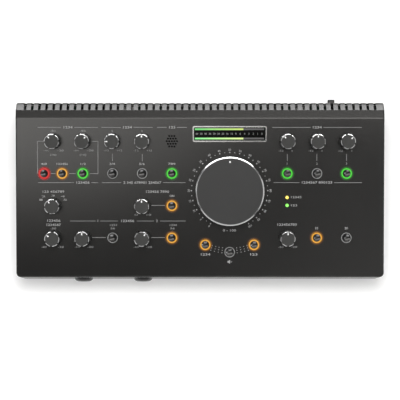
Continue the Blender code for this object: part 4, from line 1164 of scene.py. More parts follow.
    def build(self, buttons: "ButtonSet", meter: "Meter", phones: "PhonesSockets") -> None:
        """Makes and places the cover.

        Args:
            buttons: The buttons whose holes it has.
            meter: The meter whose window it has.
            phones: The sockets whose holes it has.
        """
        mesh = boolean(self.shell(), self.holes(buttons, meter, phones), "DIFFERENCE")
        mesh = boolean(mesh, self.slots(), "DIFFERENCE")
        bm = joined([mesh])
        bmesh.ops.remove_doubles(bm, verts=bm.verts, dist=MERGE_DISTANCE / 10)
        item = link(bpy.data.objects.new("cover", to_mesh(bm, "cover")))
        weights = item.modifiers.new("flat faces", "WEIGHTED_NORMAL")
        weights.mode, weights.keep_sharp = "FACE_AREA", True
        add_piece("cover_shell", baked(item), [PAINT.material()], "housing", ["top_cover"])


# ---------------------------------------------------------------- knobs


PANEL_KNOBS: dict[str, tuple[int, int, float]] = {
    "gain_1_knob": (0, 0, -36),
    "gain_2_knob": (1, 0, 39),
    "trim_3_knob": (2, 0, -90),
    "trim_4_knob": (3, 0, 0),
    "trim_a_knob": (5, 0, -35),
    "trim_b_knob": (6, 0, 0),
    "trim_c_knob": (7, 0, 48),
    "cue_source_knob": (0, 2, -34),
    "studio_out_knob": (3, 2, 0),
    "direct_monitor_knob": (0, 3, -53),
    "phones_1_knob": (1, 3, 0),
    "phones_2_knob": (3, 3, 34),
    "talkback_knob": (5, 3, 0),
}
VOLUME_ALONG = 0.4551 * PANEL.length
PANEL_KNOB_PLACES: dict[str, Point] = {
    name: (PANEL.column(column), PANEL.row(row)) for name, (column, row, _) in PANEL_KNOBS.items()
} | {"volume_knob": (PANEL.middle_x, VOLUME_ALONG)}
LAMP_ALONG = (0.4985 * PANEL.length, 0.5482 * PANEL.length)


@dataclass
class SmallKnob:
    """A tapered knob with six grip flutes, a bright chamfer and a white pointer."""

    radius: float = 7.15 * MM
    top_radius: float = 6.7 * MM
    height: float = 18.95 * MM
    chamfer: float = 0.65 * MM
    stand_off: float = 0.8 * MM
    flutes: int = 6
    flute_depth: float = 0.9 * MM
    flute_half_angle: float = math.radians(9.0)
    sides: int = 120
    shaft_radius: float = 3.0 * MM
    shaft_depth: float = 6.5 * MM
    foot_round: float = 0.4 * MM
    edge_round: float = 0.12 * MM
    rim_inset: float = 0.05 * MM
    flute_reach: float = 1.6
    flute_power: float = 0.7
    pointer_width: float = 1.0 * MM
    pointer_inset: Point = (3.0 * MM, 1.25 * MM)
    pointer_sink: float = 0.3 * MM
    pointer_rise: float = 0.04 * MM
    front_bar_inset: Point = (1.3 * MM, 0.35 * MM)
    front_bar_foot: float = 2.0 * MM
    front_bar_drop: float = 0.5 * MM

    def fluted(self, angle: float, radius: float) -> float:
        """Gives the outer radius, which is less inside a grip flute.

        Args:
            angle: The angle from the pointer.
            radius: The radius between the flutes.

        Returns:
            The radius at that angle.
        """
        if radius < self.top_radius - self.flute_reach * self.chamfer:
            return radius
        sector = FULL_TURN / self.flutes
        offset = abs((angle + sector / 2) % sector - sector / 2) / self.flute_half_angle
        if offset >= 1:
            return radius
        floor = self.top_radius - self.flute_depth
        return min(radius, radius - (radius - floor) * math.cos(offset * QUARTER_TURN) ** self.flute_power)

    def mesh(self) -> bmesh.types.BMesh:
        """Turns the knob, with the bright rim as its second material.

        Returns:
            The working mesh, standing on its own axis.
        """
        face = self.top_radius - self.chamfer
        profile = [
            (0, self.height), (face, self.height), (self.top_radius, self.height - self.chamfer),
            (self.radius, self.stand_off + self.foot_round), (self.radius - self.foot_round, self.stand_off),
            (self.shaft_radius, self.stand_off), (self.shaft_radius, -self.shaft_depth), (0, -self.shaft_depth),
        ]
        bm = turned(softened(profile, self.edge_round, 2), self.sides, self.fluted)
        for face_part in bm.faces:
            middle = face_part.calc_center_median()
            if face_part.normal.z > RIM_TILT and middle.xy.length > face - self.rim_inset:
                face_part.material_index = 1
        return bm

    def pointer(self) -> bmesh.types.BMesh:
        """Makes the white pointer: a bar on the face and one that runs down the front flute.

        Returns:
            The working mesh, with the pointer's own material number.
        """
        bm = bmesh.new()
        half = self.pointer_width / 2
        for (inner, outer), bottom, top in (
            (self.pointer_inset, self.height - self.pointer_sink, self.height + self.pointer_rise),
            (self.front_bar_inset, self.front_bar_foot, self.height - self.front_bar_drop),
        ):
            add_box(bm, (-half, self.top_radius - inner, bottom), (half, self.top_radius - outer, top))
        for face_part in bm.faces:
            face_part.material_index = 2
        return bm

    def build(self) -> None:
        """Makes every small knob, turned to where its pointer stands."""
        for name, (_, _, heading) in PANEL_KNOBS.items():
            across, along = PANEL_KNOB_PLACES[name]
            turn = PANEL.place(across, along) @ Matrix.Rotation(-math.radians(heading), 4, "Z")
            body = to_mesh(self.mesh(), name)
            mesh = to_mesh(joined([body, to_mesh(self.pointer(), name)]), name, turn)
            materials = [KNOB.material(), RIM.material(), POINTER.material()]
            add_piece(name.replace("_knob", "_dial"), mesh, materials, name, [name])


@dataclass
class VolumeKnob:
    """The large level knob: a turned cylinder with a bright chamfer and a white index dot."""

    radius: float = 30.9 * MM
    height: float = 18.0 * MM
    chamfer: float = 1.25 * MM
    stand_off: float = 0.8 * MM
    shaft_radius: float = 3.0 * MM
    shaft_depth: float = 6.5 * MM
    index_radius: float = 26.4 * MM
    dot_radius: float = 0.85 * MM
    dot_sink: float = 0.2 * MM
    dot_rise: float = 0.05 * MM
    dot_sides: int = 24
    foot_round: float = 0.5 * MM
    edge_round: float = 0.15 * MM
    rim_inset: float = 0.2 * MM
    sides: int = 144

    def build(self) -> None:
        """Makes and places the knob."""
        face = self.radius - self.chamfer
        profile = [
            (0, self.height), (face, self.height), (self.radius, self.height - self.chamfer),
            (self.radius, self.stand_off + self.foot_round), (self.radius - self.foot_round, self.stand_off),
            (self.shaft_radius, self.stand_off), (self.shaft_radius, -self.shaft_depth), (0, -self.shaft_depth),
        ]
        bm = turned(softened(profile, self.edge_round, 3), self.sides)
        for part in bm.faces:
            outside = part.calc_center_median().xy.length > face - self.rim_inset
            if RIM_TILT < part.normal.z < PLATE_TILT and outside:
                part.material_index = 1
        dot = bmesh.new()
        add_rod(
            dot, self.dot_radius, self.height - self.dot_sink, self.height + self.dot_rise, self.dot_sides,
            Matrix.Translation((0, self.index_radius, 0)),
        )
        for part in dot.faces:
            part.material_index = 2
        place = PANEL.place(PANEL.middle_x, VOLUME_ALONG)
        mesh = to_mesh(joined([to_mesh(bm, "volume"), to_mesh(dot, "dot")]), "volume", place)
        materials = [DIAL_FACE.material(), RIM.material(), POINTER.material()]
        add_piece("volume_dial", mesh, materials, "volume_knob", ["volume_knob"])


# ---------------------------------------------------------------- buttons, lamps and meter


@dataclass
class ButtonSet:
    """The lit push buttons: a dished gloss cap in a thin ring of light."""

    radius: float = 4.7 * MM
    cap_radius: float = 3.4 * MM
    height: float = 2.1 * MM
    ring_height: float = 1.2 * MM
    dish: float = 0.5 * MM
    depth: float = 4.0 * MM
    ring_width: float = 0.65 * MM
    # A lit ring is drawn broader; the extra width is painted glow.
    lit_ring_width: float = 1.1 * MM
    sides: int = 48
    bowl_steps: int = 8
    bowl_share: float = 0.94
    lip_share: float = 0.97
    edge_round: float = 0.12 * MM
    ring_drop: float = 0.05 * MM
    ring_lip: float = 0.1 * MM
    skirt_gap: float = 0.06 * MM
    skirt_drop: float = 0.15 * MM
    # The painted glow's radii in millimetres, each with its fade.
    halo_spans: tuple[Point, ...] = (
        (4.76, 1.0), (5.02, 0.95), (5.3, 0.72), (5.6, 0.42), (6.0, 0.2), (6.5, 0.06), (7.0, 0.0)
    )
    pair_spread: float = 8.1 * MM
    cluster_spread: float = 22.0 * MM
    grid: dict[str, tuple[int, int, int, Light]] = field(default_factory=lambda: {
        "phantom_button": (0, 1, -1, Light.RED),
        "low_cut_button": (0, 1, 1, Light.AMBER),
        "channel_2_button": (1, 1, 0, Light.GREEN),
        "source_3_button": (2, 1, 0, Light.OFF),
        "source_4_button": (3, 1, 0, Light.OFF),
        "computer_button": (4, 1, 0, Light.GREEN),
        "speaker_a_button": (5, 1, 0, Light.GREEN),
        "speaker_b_button": (6, 1, 0, Light.OFF),
        "speaker_c_button": (7, 1, 0, Light.GREEN),
        "studio_on_button": (4, 2, 0, Light.AMBER),
        "phones_1_button": (2, 3, 0, Light.OFF),
        "phones_2_button": (4, 3, 0, Light.AMBER),
        "talk_phones_button": (6, 3, 0, Light.AMBER),
        "talk_studio_button": (7, 3, 0, Light.OFF),
    })
    cluster: dict[str, tuple[int, float, Light]] = field(default_factory=lambda: {
        "mono_button": (-1, 0.7955, Light.AMBER),
        "mute_button": (0, 0.8421, Light.OFF),
        "dim_button": (1, 0.7955, Light.AMBER),
    })

    def places(self) -> dict[str, Point]:
        """Gives where the buttons stand.

        Returns:
            Each button's place across and along the panel.
        """
        places = {
            name: (PANEL.column(column) + side * self.pair_spread, PANEL.row(row))
            for name, (column, row, side, _) in self.grid.items()
        }
        for name, (side, share, _) in self.cluster.items():
            places[name] = (PANEL.middle_x + side * self.cluster_spread, share * PANEL.length)
        return places

    def lights(self) -> dict[str, Light]:
        """Gives what each button's ring shows."""
        return {name: entry[-1] for name, entry in (self.grid | self.cluster).items()}

    def mesh(self, light: Light) -> bmesh.types.BMesh:
        """Turns one button, with its ring as the second material and its skirt, which shows a painted glow when lit, as
        the third.

        Args:
            light: What its ring shows, since a lit ring is drawn broader, its extra width a painted glow.

        Returns:
            The working mesh on its own axis.
        """
        bowl = [(0, self.height - self.dish)]
        for step in range(1, self.bowl_steps):
            share = step / self.bowl_steps
            bowl.append((self.cap_radius * self.bowl_share * share, self.height - self.dish * (1 - share**2)))
        inner = self.radius - (self.ring_width if light is Light.OFF else self.lit_ring_width)
        crest = self.ring_height + self.edge_round
        profile = [
            *bowl, (self.cap_radius * self.lip_share, self.height), (self.cap_radius, self.height - self.edge_round),
            (inner - self.skirt_gap, self.ring_height - self.skirt_drop), (inner, self.ring_height),
            (inner + self.ring_lip, crest), (self.radius - self.edge_round, crest),
            (self.radius, self.ring_height - self.ring_drop), (self.radius, -self.depth), (0, -self.depth),
        ]
        bm = turned(profile, self.sides)
        for part in bm.faces:
            middle = part.calc_center_median()
            if inner < middle.xy.length and middle.z > self.ring_height - self.ring_lip:
                part.material_index = 1
            elif self.cap_radius < middle.xy.length < inner and middle.z > 0:
                part.material_index = 2
        return bm

    def halo(self, place: Matrix) -> bpy.types.Mesh:
        """Makes the flat ring of painted light about a lit button: an emissive film on the panel that stands in for the
        light its ring casts.

        Args:
            place: The button's place on the panel.

        Returns:
            The ring, with its fade as a point attribute.
        """
        bm = bmesh.new()
        layer = bm.verts.layers.float.new(FADE)
        rings = []
        for radius, fade in self.halo_spans:
            ring = []
            for side in range(self.sides):
                angle = FULL_TURN * side / self.sides
                vert = bm.verts.new((radius * MM * math.cos(angle), radius * MM * math.sin(angle), MARK_LIFT))
                vert[layer] = fade
                ring.append(vert)
            rings.append(ring)
        for inner, outer in zip(rings, rings[1:]):
            for side in range(self.sides):
                after = (side + 1) % self.sides
                bm.faces.new((inner[side], outer[side], outer[after], inner[after]))
        return to_mesh(bm, "halo", place)

    def build(self) -> None:
        """Makes every button."""
        for name, (across, along) in self.places().items():
            light = self.lights()[name]
            place = PANEL.place(across, along)
            # A lit button's skirt takes a painted glow; an unlit one keeps the cap's gloss.
            ring, skirt = RING_LIT.get(light, RING_OFF), SKIRT_PAINTED_GLOW.get(light, BUTTON_CAP)
            mesh = to_mesh(self.mesh(light), name, place)
            materials = [BUTTON_CAP.material(), ring.material(), skirt.material()]
            add_piece(name.replace("_button", "_key"), mesh, materials, name, [name])
            # Each lit button also gets a painted glow on the panel round it.
            if light in HALO_LIT:
                halo = name.replace("_button", "_halo")
                add_piece(halo, self.halo(place), [HALO_LIT[light].material()], "housing")


@dataclass
class Lamps:
    """The two indicator lamps in the panel."""

    radius: float = 1.4 * MM
    height: float = 0.8 * MM
    depth: float = 11.2 * MM
    dome_steps: int = 6
    sides: int = 32

    def build(self) -> None:
        """Makes both lamps as round domes."""
        finishes = {"power_lamp": LAMP_YELLOW, "talk_lamp": LAMP_GREEN}
        turns = [step * QUARTER_TURN / self.dome_steps for step in range(1, self.dome_steps + 1)]
        dome = [(0, self.height), *((self.radius * math.sin(turn), self.height * math.cos(turn)) for turn in turns)]
        for (name, finish), along in zip(finishes.items(), LAMP_ALONG):
            bm = turned([*dome, (self.radius, -self.depth), (0, -self.depth)], self.sides)
            mesh = to_mesh(bm, name, PANEL.place(PANEL.column(5), along))
            add_piece(name + "_dome", mesh, [finish.material()], "housing", [name])


@dataclass
class Meter:
    """The level meter: a polished bezel round a dark window with two rows of segments."""

    width: float = 67.0 * MM
    length: float = 14.4 * MM
    border: float = 1.2 * MM
    height: float = 1.0 * MM
    corner: float = 1.4 * MM
    along: float = 0.0994 * PANEL.length
    window_height: float = 0.6 * MM
    segment_count: int = 60
    segment_pitch: float = 1.04 * MM
    segment_width: float = 0.98 * MM
    segment_length: float = 1.55 * MM
    lit_count: int = 42
    rows: Point = (4.3 * MM, -4.1 * MM)
    first_segment: float = -30.9 * MM
    marks: tuple[int, ...] = (60, 50, 40, 36, 30, 24, 20, 16, 12, 9, 6, 4, 3, 2, 1, 0)
    mark_pitch: float = 3.91 * MM
    first_mark: float = -29.6 * MM
    mark_drop: float = 0.1 * MM
    mark_size: float = 2.3 * MM
    mark_weight: float = 0.03 * MM
    foot: float = 0.3 * MM
    edge_round: float = 0.25 * MM
    corner_steps: int = 6
    inner_corner_share: float = 0.6
    segment_height: float = 0.1 * MM
    segment_lift: float = 0.02 * MM

    def bezel(self) -> bpy.types.Mesh:
        """Makes the bezel as a frame with softened edges.

        Returns:
            The bezel's mesh in place.
        """
        outer = rounded_rectangle(self.width, self.length, self.corner, self.corner_steps)
        inner = rounded_rectangle(
            self.width - 2 * self.border, self.length - 2 * self.border, self.corner * self.inner_corner_share,
            self.corner_steps,
        )
        middle = len(outer)
        heights = [(0.0, self.foot), (0.0, self.height - self.edge_round), (self.edge_round, self.height)]
        bm = bmesh.new()
        rings = []
        for inset, height in heights:
            rings.append([bm.verts.new((*(place - place.normalized() * inset), height)) for place in outer])
        for inset, height in reversed(heights):
            rings.append([bm.verts.new((*(place + place.normalized() * inset), height)) for place in inner])
        for index, ring in enumerate(rings):
            following = rings[(index + 1) % len(rings)]
            for corner in range(middle):
                after = (corner + 1) % middle
                bm.faces.new((ring[corner], ring[after], following[after], following[corner]))
        bmesh.ops.recalc_face_normals(bm, faces=bm.faces)
        return to_mesh(bm, "bezel", PANEL.place(PANEL.middle_x, self.along))

    def build(self) -> None:
        """Makes the bezel, the segments and the numbers on the window."""
        add_piece("meter_frame", self.bezel(), [BEZEL.material()], "housing", ["meter_bezel"])
        recipe = block_row_recipe()
        lift = self.window_height + self.segment_lift
        for row, across_row in enumerate(self.rows):
            for state, first, count, finish in (
                ("lit", 0, self.lit_count, BAR_LIT[row]),
                ("unlit", self.lit_count, self.segment_count - self.lit_count, BAR_UNLIT),
            ):
                mesh = recipe.run({
                    "Count": count, "Pitch": self.segment_pitch, "Width": self.segment_width,
                    "Length": self.segment_length, "Height": self.segment_height, "Material": finish.material(),
                })
                start = PANEL.middle_x + self.first_segment + first * self.segment_pitch
                place = PANEL.place(start, self.along - across_row, lift)
                mesh = to_mesh(joined([mesh]), "segments", place)
                add_piece(f"meter_row_{row + 1}_{state}", mesh, [finish.material()], "housing")
        marks = []
        for number, mark in enumerate(self.marks):
            start = PANEL.middle_x + self.first_mark + number * self.mark_pitch
            place = PANEL.place(start, self.along - self.mark_drop, self.window_height)
            marks.append(Number(str(mark), self.mark_size, place, 0, self.mark_weight))
        add_piece(
            "meter_numbers", to_mesh(joined(printed(marks)), "marks"), [DIM_INK.material()], "housing"
        )


# ---------------------------------------------------------------- printing


INK_THICKNESS = 0.04 * MM


@dataclass(frozen=True)
class Number:
    """A printed number: its digits, its height and place, and its width where the space gives it."""

    words: str
    size: float
    place: Matrix
    width: float = 0.0
    weight: float = 0.0


def printed(numbers: Sequence[Number]) -> list[bpy.types.Mesh]:
    """Makes printed numbers, all in one evaluation of the scene.

    Args:
        numbers: The numbers to print.

    Returns:
        Their meshes in place.
    """
    items = []
    for number in numbers:
        curve = bpy.data.curves.new("number", "FONT")
        curve.body, curve.size, curve.resolution_u = number.words, number.size, 2
        curve.align_x, curve.align_y = "CENTER", "CENTER"
        curve.extrude, curve.offset = INK_THICKNESS / 2, number.weight
        items.append(link(bpy.data.objects.new("number", curve)))
    graph = bpy.context.evaluated_depsgraph_get()
    meshes = []
    for number, item in zip(numbers, items):
        mesh = bpy.data.meshes.new_from_object(item.evaluated_get(graph))
        across = [vertex.co.x for vertex in mesh.vertices]
        spread = number.width / (max(across) - min(across)) if number.width else 1.0
        fit = Matrix.Diagonal((spread, 1, 1, 1)) @ Matrix.Translation((0, 0, INK_THICKNESS / 2))
        meshes.append(to_mesh(joined([mesh]), "number", number.place @ fit))
    for item in items:
        curve = item.data
        bpy.data.objects.remove(item, do_unlink=True)
        bpy.data.curves.remove(curve)
    return meshes


@dataclass
class Printing:
    """The lines, dots and numbers printed on the panel."""

    line_width: float = 0.5 * MM
    levels: dict[float, tuple[Point, ...]] = field(default_factory=lambda: {
        8.4: ((-146.66, -125.29), (-113.56, -92.09), (-89.03, -71.44), (-60.17, -42.58), (-38.88, -30.04),
              (-20.93, -11.91), (65.21, 99.66), (111.21, 145.93)),
        58.23: (
            (-146.27, -113.75), (-98.21, -92.24), (-88.63, -71.19), (-33.43, -13.29), (66.49, 89.8), (121.05, 146.17)
        ),
        92.99: ((-117.49, -94.43), (-90.27, -74.17), (-57.26, -41.7), (-36.27, -13.12)),
        50.09: ((-134.76, -130.51), (-118.32, -112.18), (-99.54, -92.22)),
        107.95: ((-97.55, -85.15), (-43.98, -31.68)),
        78.86: ((-43.94, -31.65),),
        20.93: ((-146.72, -140.86), (-97.55, -92.13)),
    })
    uprights: tuple[tuple[float, float, float], ...] = (
        (-146.78, 20.93, 50.0), (-92.17, 20.93, 50.18), (-79.08, 32.39, 38.8), (-52.18, 32.39, 38.8),
        (78.8, 32.48, 38.53), (105.44, 32.48, 38.53), (132.16, 32.48, 38.53),
    )
    dot_arcs: tuple[tuple[int, float, float, float, float], ...] = (
        (21, -150.0, 15.0, 34.5, 0.62), (20, -142.5, 15.0, 34.5, 0.42),
        *((4, start, 3.5, radius, 0.36) for start in (162.5, 187.0) for radius in (52.2, 54.4, 56.7)),
    )
    number_radius: float = 36.9 * MM
    number_size: float = 2.6 * MM
    number_weight: float = 0.03 * MM
    number_count: int = 21
    number_step: int = 5
    scale_start: float = -150.0
    scale_step: float = 15.0
    heading_size: float = 3.0 * MM
    heading_weight: float = 0.045 * MM
    mark_size: float = 2.3 * MM
    mark_weight: float = 0.02 * MM
    speaker_along: float = 130.0 * MM
    headings: tuple[tuple[str, float, float, float], ...] = (
        ("1234", -119.4, 8.4, 8.1), ("1234", -65.8, 8.4, 8.1), ("123", -25.4, 8.4, 5.6), ("1234", 105.4, 8.4, 8.1),
        ("123456", -106.1, 58.3, 11.8), ("2 345 678901 234567", -52.2, 58.3, 34.3),
        ("1234567 890123", 105.4, 58.2, 27.5),
        ("123 456789", -132.8, 66.5, 19.6), ("123456 7890", -38.7, 66.5, 20.8), ("123456", -132.6, 92.8, 12.0),
        ("1234567", -132.7, 96.6, 13.0), ("123456", -65.8, 93.0, 11.8), ("1", -92.4, 93.0, 0), ("2", -39.0, 93.0, 0),
        ("123456789", 78.5, 96.4, 17.6), ("10", 105.3, 99.6, 0), ("20", 132.3, 99.6, 0),
        ("0 - 100", 26.6, 101.6, 12.0),
        ("1234", 4.6, 123.4, 8.6), ("123", 48.4, 123.4, 6.4),
    )
    labels: tuple[tuple[str, float, float, float], ...] = (
        ("48", -141.0, 41.4, 5.4), ("123456", -124.6, 41.4, 10.4), ("1/2", -105.9, 41.4, 4.9),
        ("3/4", -79.4, 41.4, 5.0),
        ("5/6", -52.5, 41.4, 5.0), ("789", -25.6, 41.4, 6.6), ("1", 78.6, 41.2, 0), ("2", 105.5, 41.2, 0),
        ("3", 132.2, 41.2, 0),
        ("ON", -25.4, 70.3, 4.2), ("12345", 86.6, 71.5, 9.4), ("123", 84.7, 78.9, 5.6),
    )
    knob_marks: tuple[tuple[str, float, float, float], ...] = (
        ("-50", -132.8, 11.7, 5.0), ("-50", -105.9, 11.7, 5.0), ("0", -79.3, 11.7, 0), ("0", -52.4, 11.7, 0),
        ("-60", -138.6, 29.3, 5.0), ("-20", -125.9, 29.3, 5.6), ("-60", -111.6, 29.3, 5.0), ("-20", -99.0, 29.3, 5.6),
        ("(10)", -132.6, 33.1, 5.8), ("(10)", -105.7, 33.1, 5.8), ("-12", -84.6, 29.3, 4.6),
        ("+12", -72.6, 29.3, 4.8),
        ("-12", -57.8, 29.3, 4.6), ("+12", -45.9, 29.3, 4.8), ("-12", 73.1, 29.6, 4.4), ("0", 83.1, 29.6, 0),
        ("-12", 100.0, 29.6, 4.4), ("0", 110.1, 29.6, 0), ("-12", 126.7, 29.6, 4.4), ("0", 136.9, 29.6, 0),
        ("2", -141.4, 70.8, 3.6), ("3", -133.0, 70.0, 3.4), ("4", -124.0, 70.8, 4.0), ("1", -143.8, 73.8, 3.0),
        ("5", -121.8, 73.8, 3.4), ("0", -57.7, 87.5, 3.4), ("10", -46.7, 87.5, 4.2), ("-50", -132.7, 99.8, 5.0),
        ("-60", -141.1, 116.6, 4.8), ("-20", -126.0, 116.6, 5.2), ("-60", -111.2, 116.6, 4.8),
        ("-20", -99.2, 116.6, 5.2),
        ("-60", -57.8, 116.6, 4.8), ("-20", -46.2, 116.6, 5.2), ("1234", -78.6, 96.8, 6.4), ("56", -79.0, 99.8, 4.0),
        ("1234", -24.5, 96.8, 6.4), ("56", -25.0, 99.8, 4.0), ("-60", 73.2, 116.6, 4.8), ("-20", 85.2, 116.6, 5.2),
    )
    speaker: tuple[tuple[Point, ...], ...] = (
        ((-2.0, -0.75), (-1.0, -0.75), (0.3, -1.9), (0.3, 1.9), (-1.0, 0.75), (-2.0, 0.75)),
        ((0.9, -0.9), (1.3, -0.9), (1.3, 0.9), (0.9, 0.9)),
        ((1.75, -0.45), (2.1, -0.45), (2.1, 0.45), (1.75, 0.45)),
    )

    def lines(self) -> bpy.types.Mesh:
        """Makes every printed line as a thin bar.

        Returns:
            The lines' mesh in place.
        """
        bm = bmesh.new()
        half = self.line_width / 2
        for along, spans in self.levels.items():
            for left, right in spans:
                add_box(bm, (left * MM, -along * MM - half, 0), (right * MM, -along * MM + half, INK_THICKNESS))
        for across, near, far in self.uprights:
            add_box(bm, (across * MM - half, -far * MM, 0), (across * MM + half, -near * MM, INK_THICKNESS))
        return to_mesh(bm, "lines", PANEL.place())

    def dial(self) -> list[bpy.types.Mesh]:
        """Makes the dots and numbers round the volume knob.

        Returns:
            The meshes in place.
        """
        recipe = dot_arc_recipe()
        centre = PANEL.place(PANEL.middle_x, VOLUME_ALONG, INK_THICKNESS / 2)
        meshes = []
        for count, start, step, radius, dot in self.dot_arcs:
            mesh = recipe.run({
                "Count": count, "Start": math.radians(start), "Step": math.radians(step), "Radius": radius * MM,
                "Dot Radius": dot * MM, "Thickness": INK_THICKNESS, "Material": INK.material(),
            })
            meshes.append(to_mesh(joined([mesh]), "dots", centre))
        numbers = []
        for step in range(self.number_count):
            angle = math.radians(self.scale_start + self.scale_step * step)
            turn = PANEL.place(PANEL.middle_x, VOLUME_ALONG) @ Matrix.Rotation(-angle, 4, "Z")
            place = turn @ Matrix.Translation((0, self.number_radius, 0))
            numbers.append(Number(str(self.number_step * step), self.number_size, place, 0, self.number_weight))
        return meshes + printed(numbers)

    def numbers(
        self, entries: Sequence[tuple[str, float, float, float]], size: float, weight: float
    ) -> list[bpy.types.Mesh]:
        """Makes a set of printed numbers.

        Args:
            entries: Each number's digits, its place across and along and its width, in millimetres.
            size: The font's size.
            weight: How much bolder than the plain font it is.

        Returns:
            The meshes in place.
        """
        return printed([
            Number(words, size, PANEL.place(x * MM, along * MM), width * MM, weight)
            for words, x, along, width in entries
        ])

    def symbol(self) -> list[bpy.types.Mesh]:
        """Makes the loudspeaker symbol below the mute button.

        Returns:
            Its meshes in place.
        """
        place = PANEL.place(PANEL.middle_x, self.speaker_along)
        outlines = [[(x * MM, y * MM) for x, y in outline] for outline in self.speaker]
        return [to_mesh(prism(outline, 0, INK_THICKNESS), "symbol", place) for outline in outlines]

    def build(self) -> None:
        """Makes the printing as four pieces on the housing."""
        headings = self.numbers(self.headings, self.heading_size, self.heading_weight) + self.symbol()
        headings += self.numbers(self.labels, self.number_size, self.number_weight)
        marks = self.numbers(self.knob_marks, self.mark_size, self.mark_weight)
        add_piece("panel_lines", self.lines(), [INK.material()], "housing")
        add_piece("dial_scale", to_mesh(joined(self.dial()), "dial"), [BOLD_INK.material()], "housing")
        add_piece(
            "panel_numbers", to_mesh(joined(headings), "headings"), [BOLD_INK.material()], "housing"
        )
        add_piece("knob_numbers", to_mesh(joined(marks), "marks"), [DIM_INK.material()], "housing")


# ---------------------------------------------------------------- sockets


@dataclass
class PhonesSockets:
    """The two phones sockets in the front wall, each with a domed collar."""

    names: tuple[str, ...] = ("phones_1_socket", "phones_2_socket")
    height: float = 30.0 * MM
    nose_radius: float = 5.8 * MM
    bore_radius: float = 3.3 * MM
    bore_depth: float = 23.9 * MM
    mouth_round: float = 0.2 * MM
    collar: tuple[Point, ...] = (
        (5.3 * MM, 3.1 * MM), (6.3 * MM, 2.75 * MM), (7.2 * MM, 2.2 * MM), (8.0 * MM, 1.4 * MM), (8.5 * MM, 0.3 * MM)
    )
    block_radius: float = 7.4 * MM
    block_front: float = 1.5 * MM
    block_rear: float = 28.5 * MM
    sides: int = 64

    def place(self, name: str) -> Matrix:
        """Gives where a socket's mouth is.

        Args:
            name: The socket's node.

        Returns:
            The matrix of its mouth, with its axis out of the front wall.
        """
        low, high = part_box(name)
        front = Matrix.Translation(((low.x + high.x) / 2, PANEL.box[0].y, self.height))
        return front @ Matrix.Rotation(QUARTER_TURN, 4, "X")

    def build(self) -> None:
        """Makes both sockets."""
        reach, foot = self.collar[0][1], self.collar[-1][1]
        profile = [
            (0, -self.bore_depth), (self.bore_radius, -self.bore_depth), (self.bore_radius, reach - self.mouth_round),
            (self.bore_radius + self.mouth_round, reach), *self.collar, (self.nose_radius, foot),
            (self.nose_radius, -self.block_front), (self.block_radius, -self.block_front),
            (self.block_radius, -self.block_rear), (0, -self.block_rear),
        ]
        for name in self.names:
            mesh = to_mesh(turned(profile, self.sides), name, self.place(name))
            piece = name.replace("socket", "collar")
            add_piece(piece, mesh, [SOCKET_BLACK.material()], "housing", [name])


# ---------------------------------------------------------------- the studio


class Rays(Enum):
    """What a lamp lights."""

    DIFFUSE = "diffuse"
    GLOSSY = "glossy"


@dataclass(frozen=True)
class AreaLamp:
    """A soft rectangular lamp that the camera doesn't see; a radiance of 1 is white."""

    name: str
    place: tuple[float, float, float]
    target: tuple[float, float, float]
    size: Point
    radiance: float
    rays: Rays

    def build(self) -> None:
        """Hangs the lamp, turned to its target."""
        lamp = bpy.data.lights.new(self.name, "AREA")
        lamp.shape, lamp.size, lamp.size_y = "RECTANGLE", *self.size
        lamp.energy = self.radiance * 4 * self.size[0] * self.size[1]
        item = link(bpy.data.objects.new(self.name, lamp))
        item.location = self.place
        item.rotation_euler = (Vector(self.target) - Vector(self.place)).to_track_quat("-Z", "Y").to_euler()
        item.visible_camera = False
        item.visible_glossy, item.visible_diffuse = self.rays is Rays.GLOSSY, self.rays is Rays.DIFFUSE


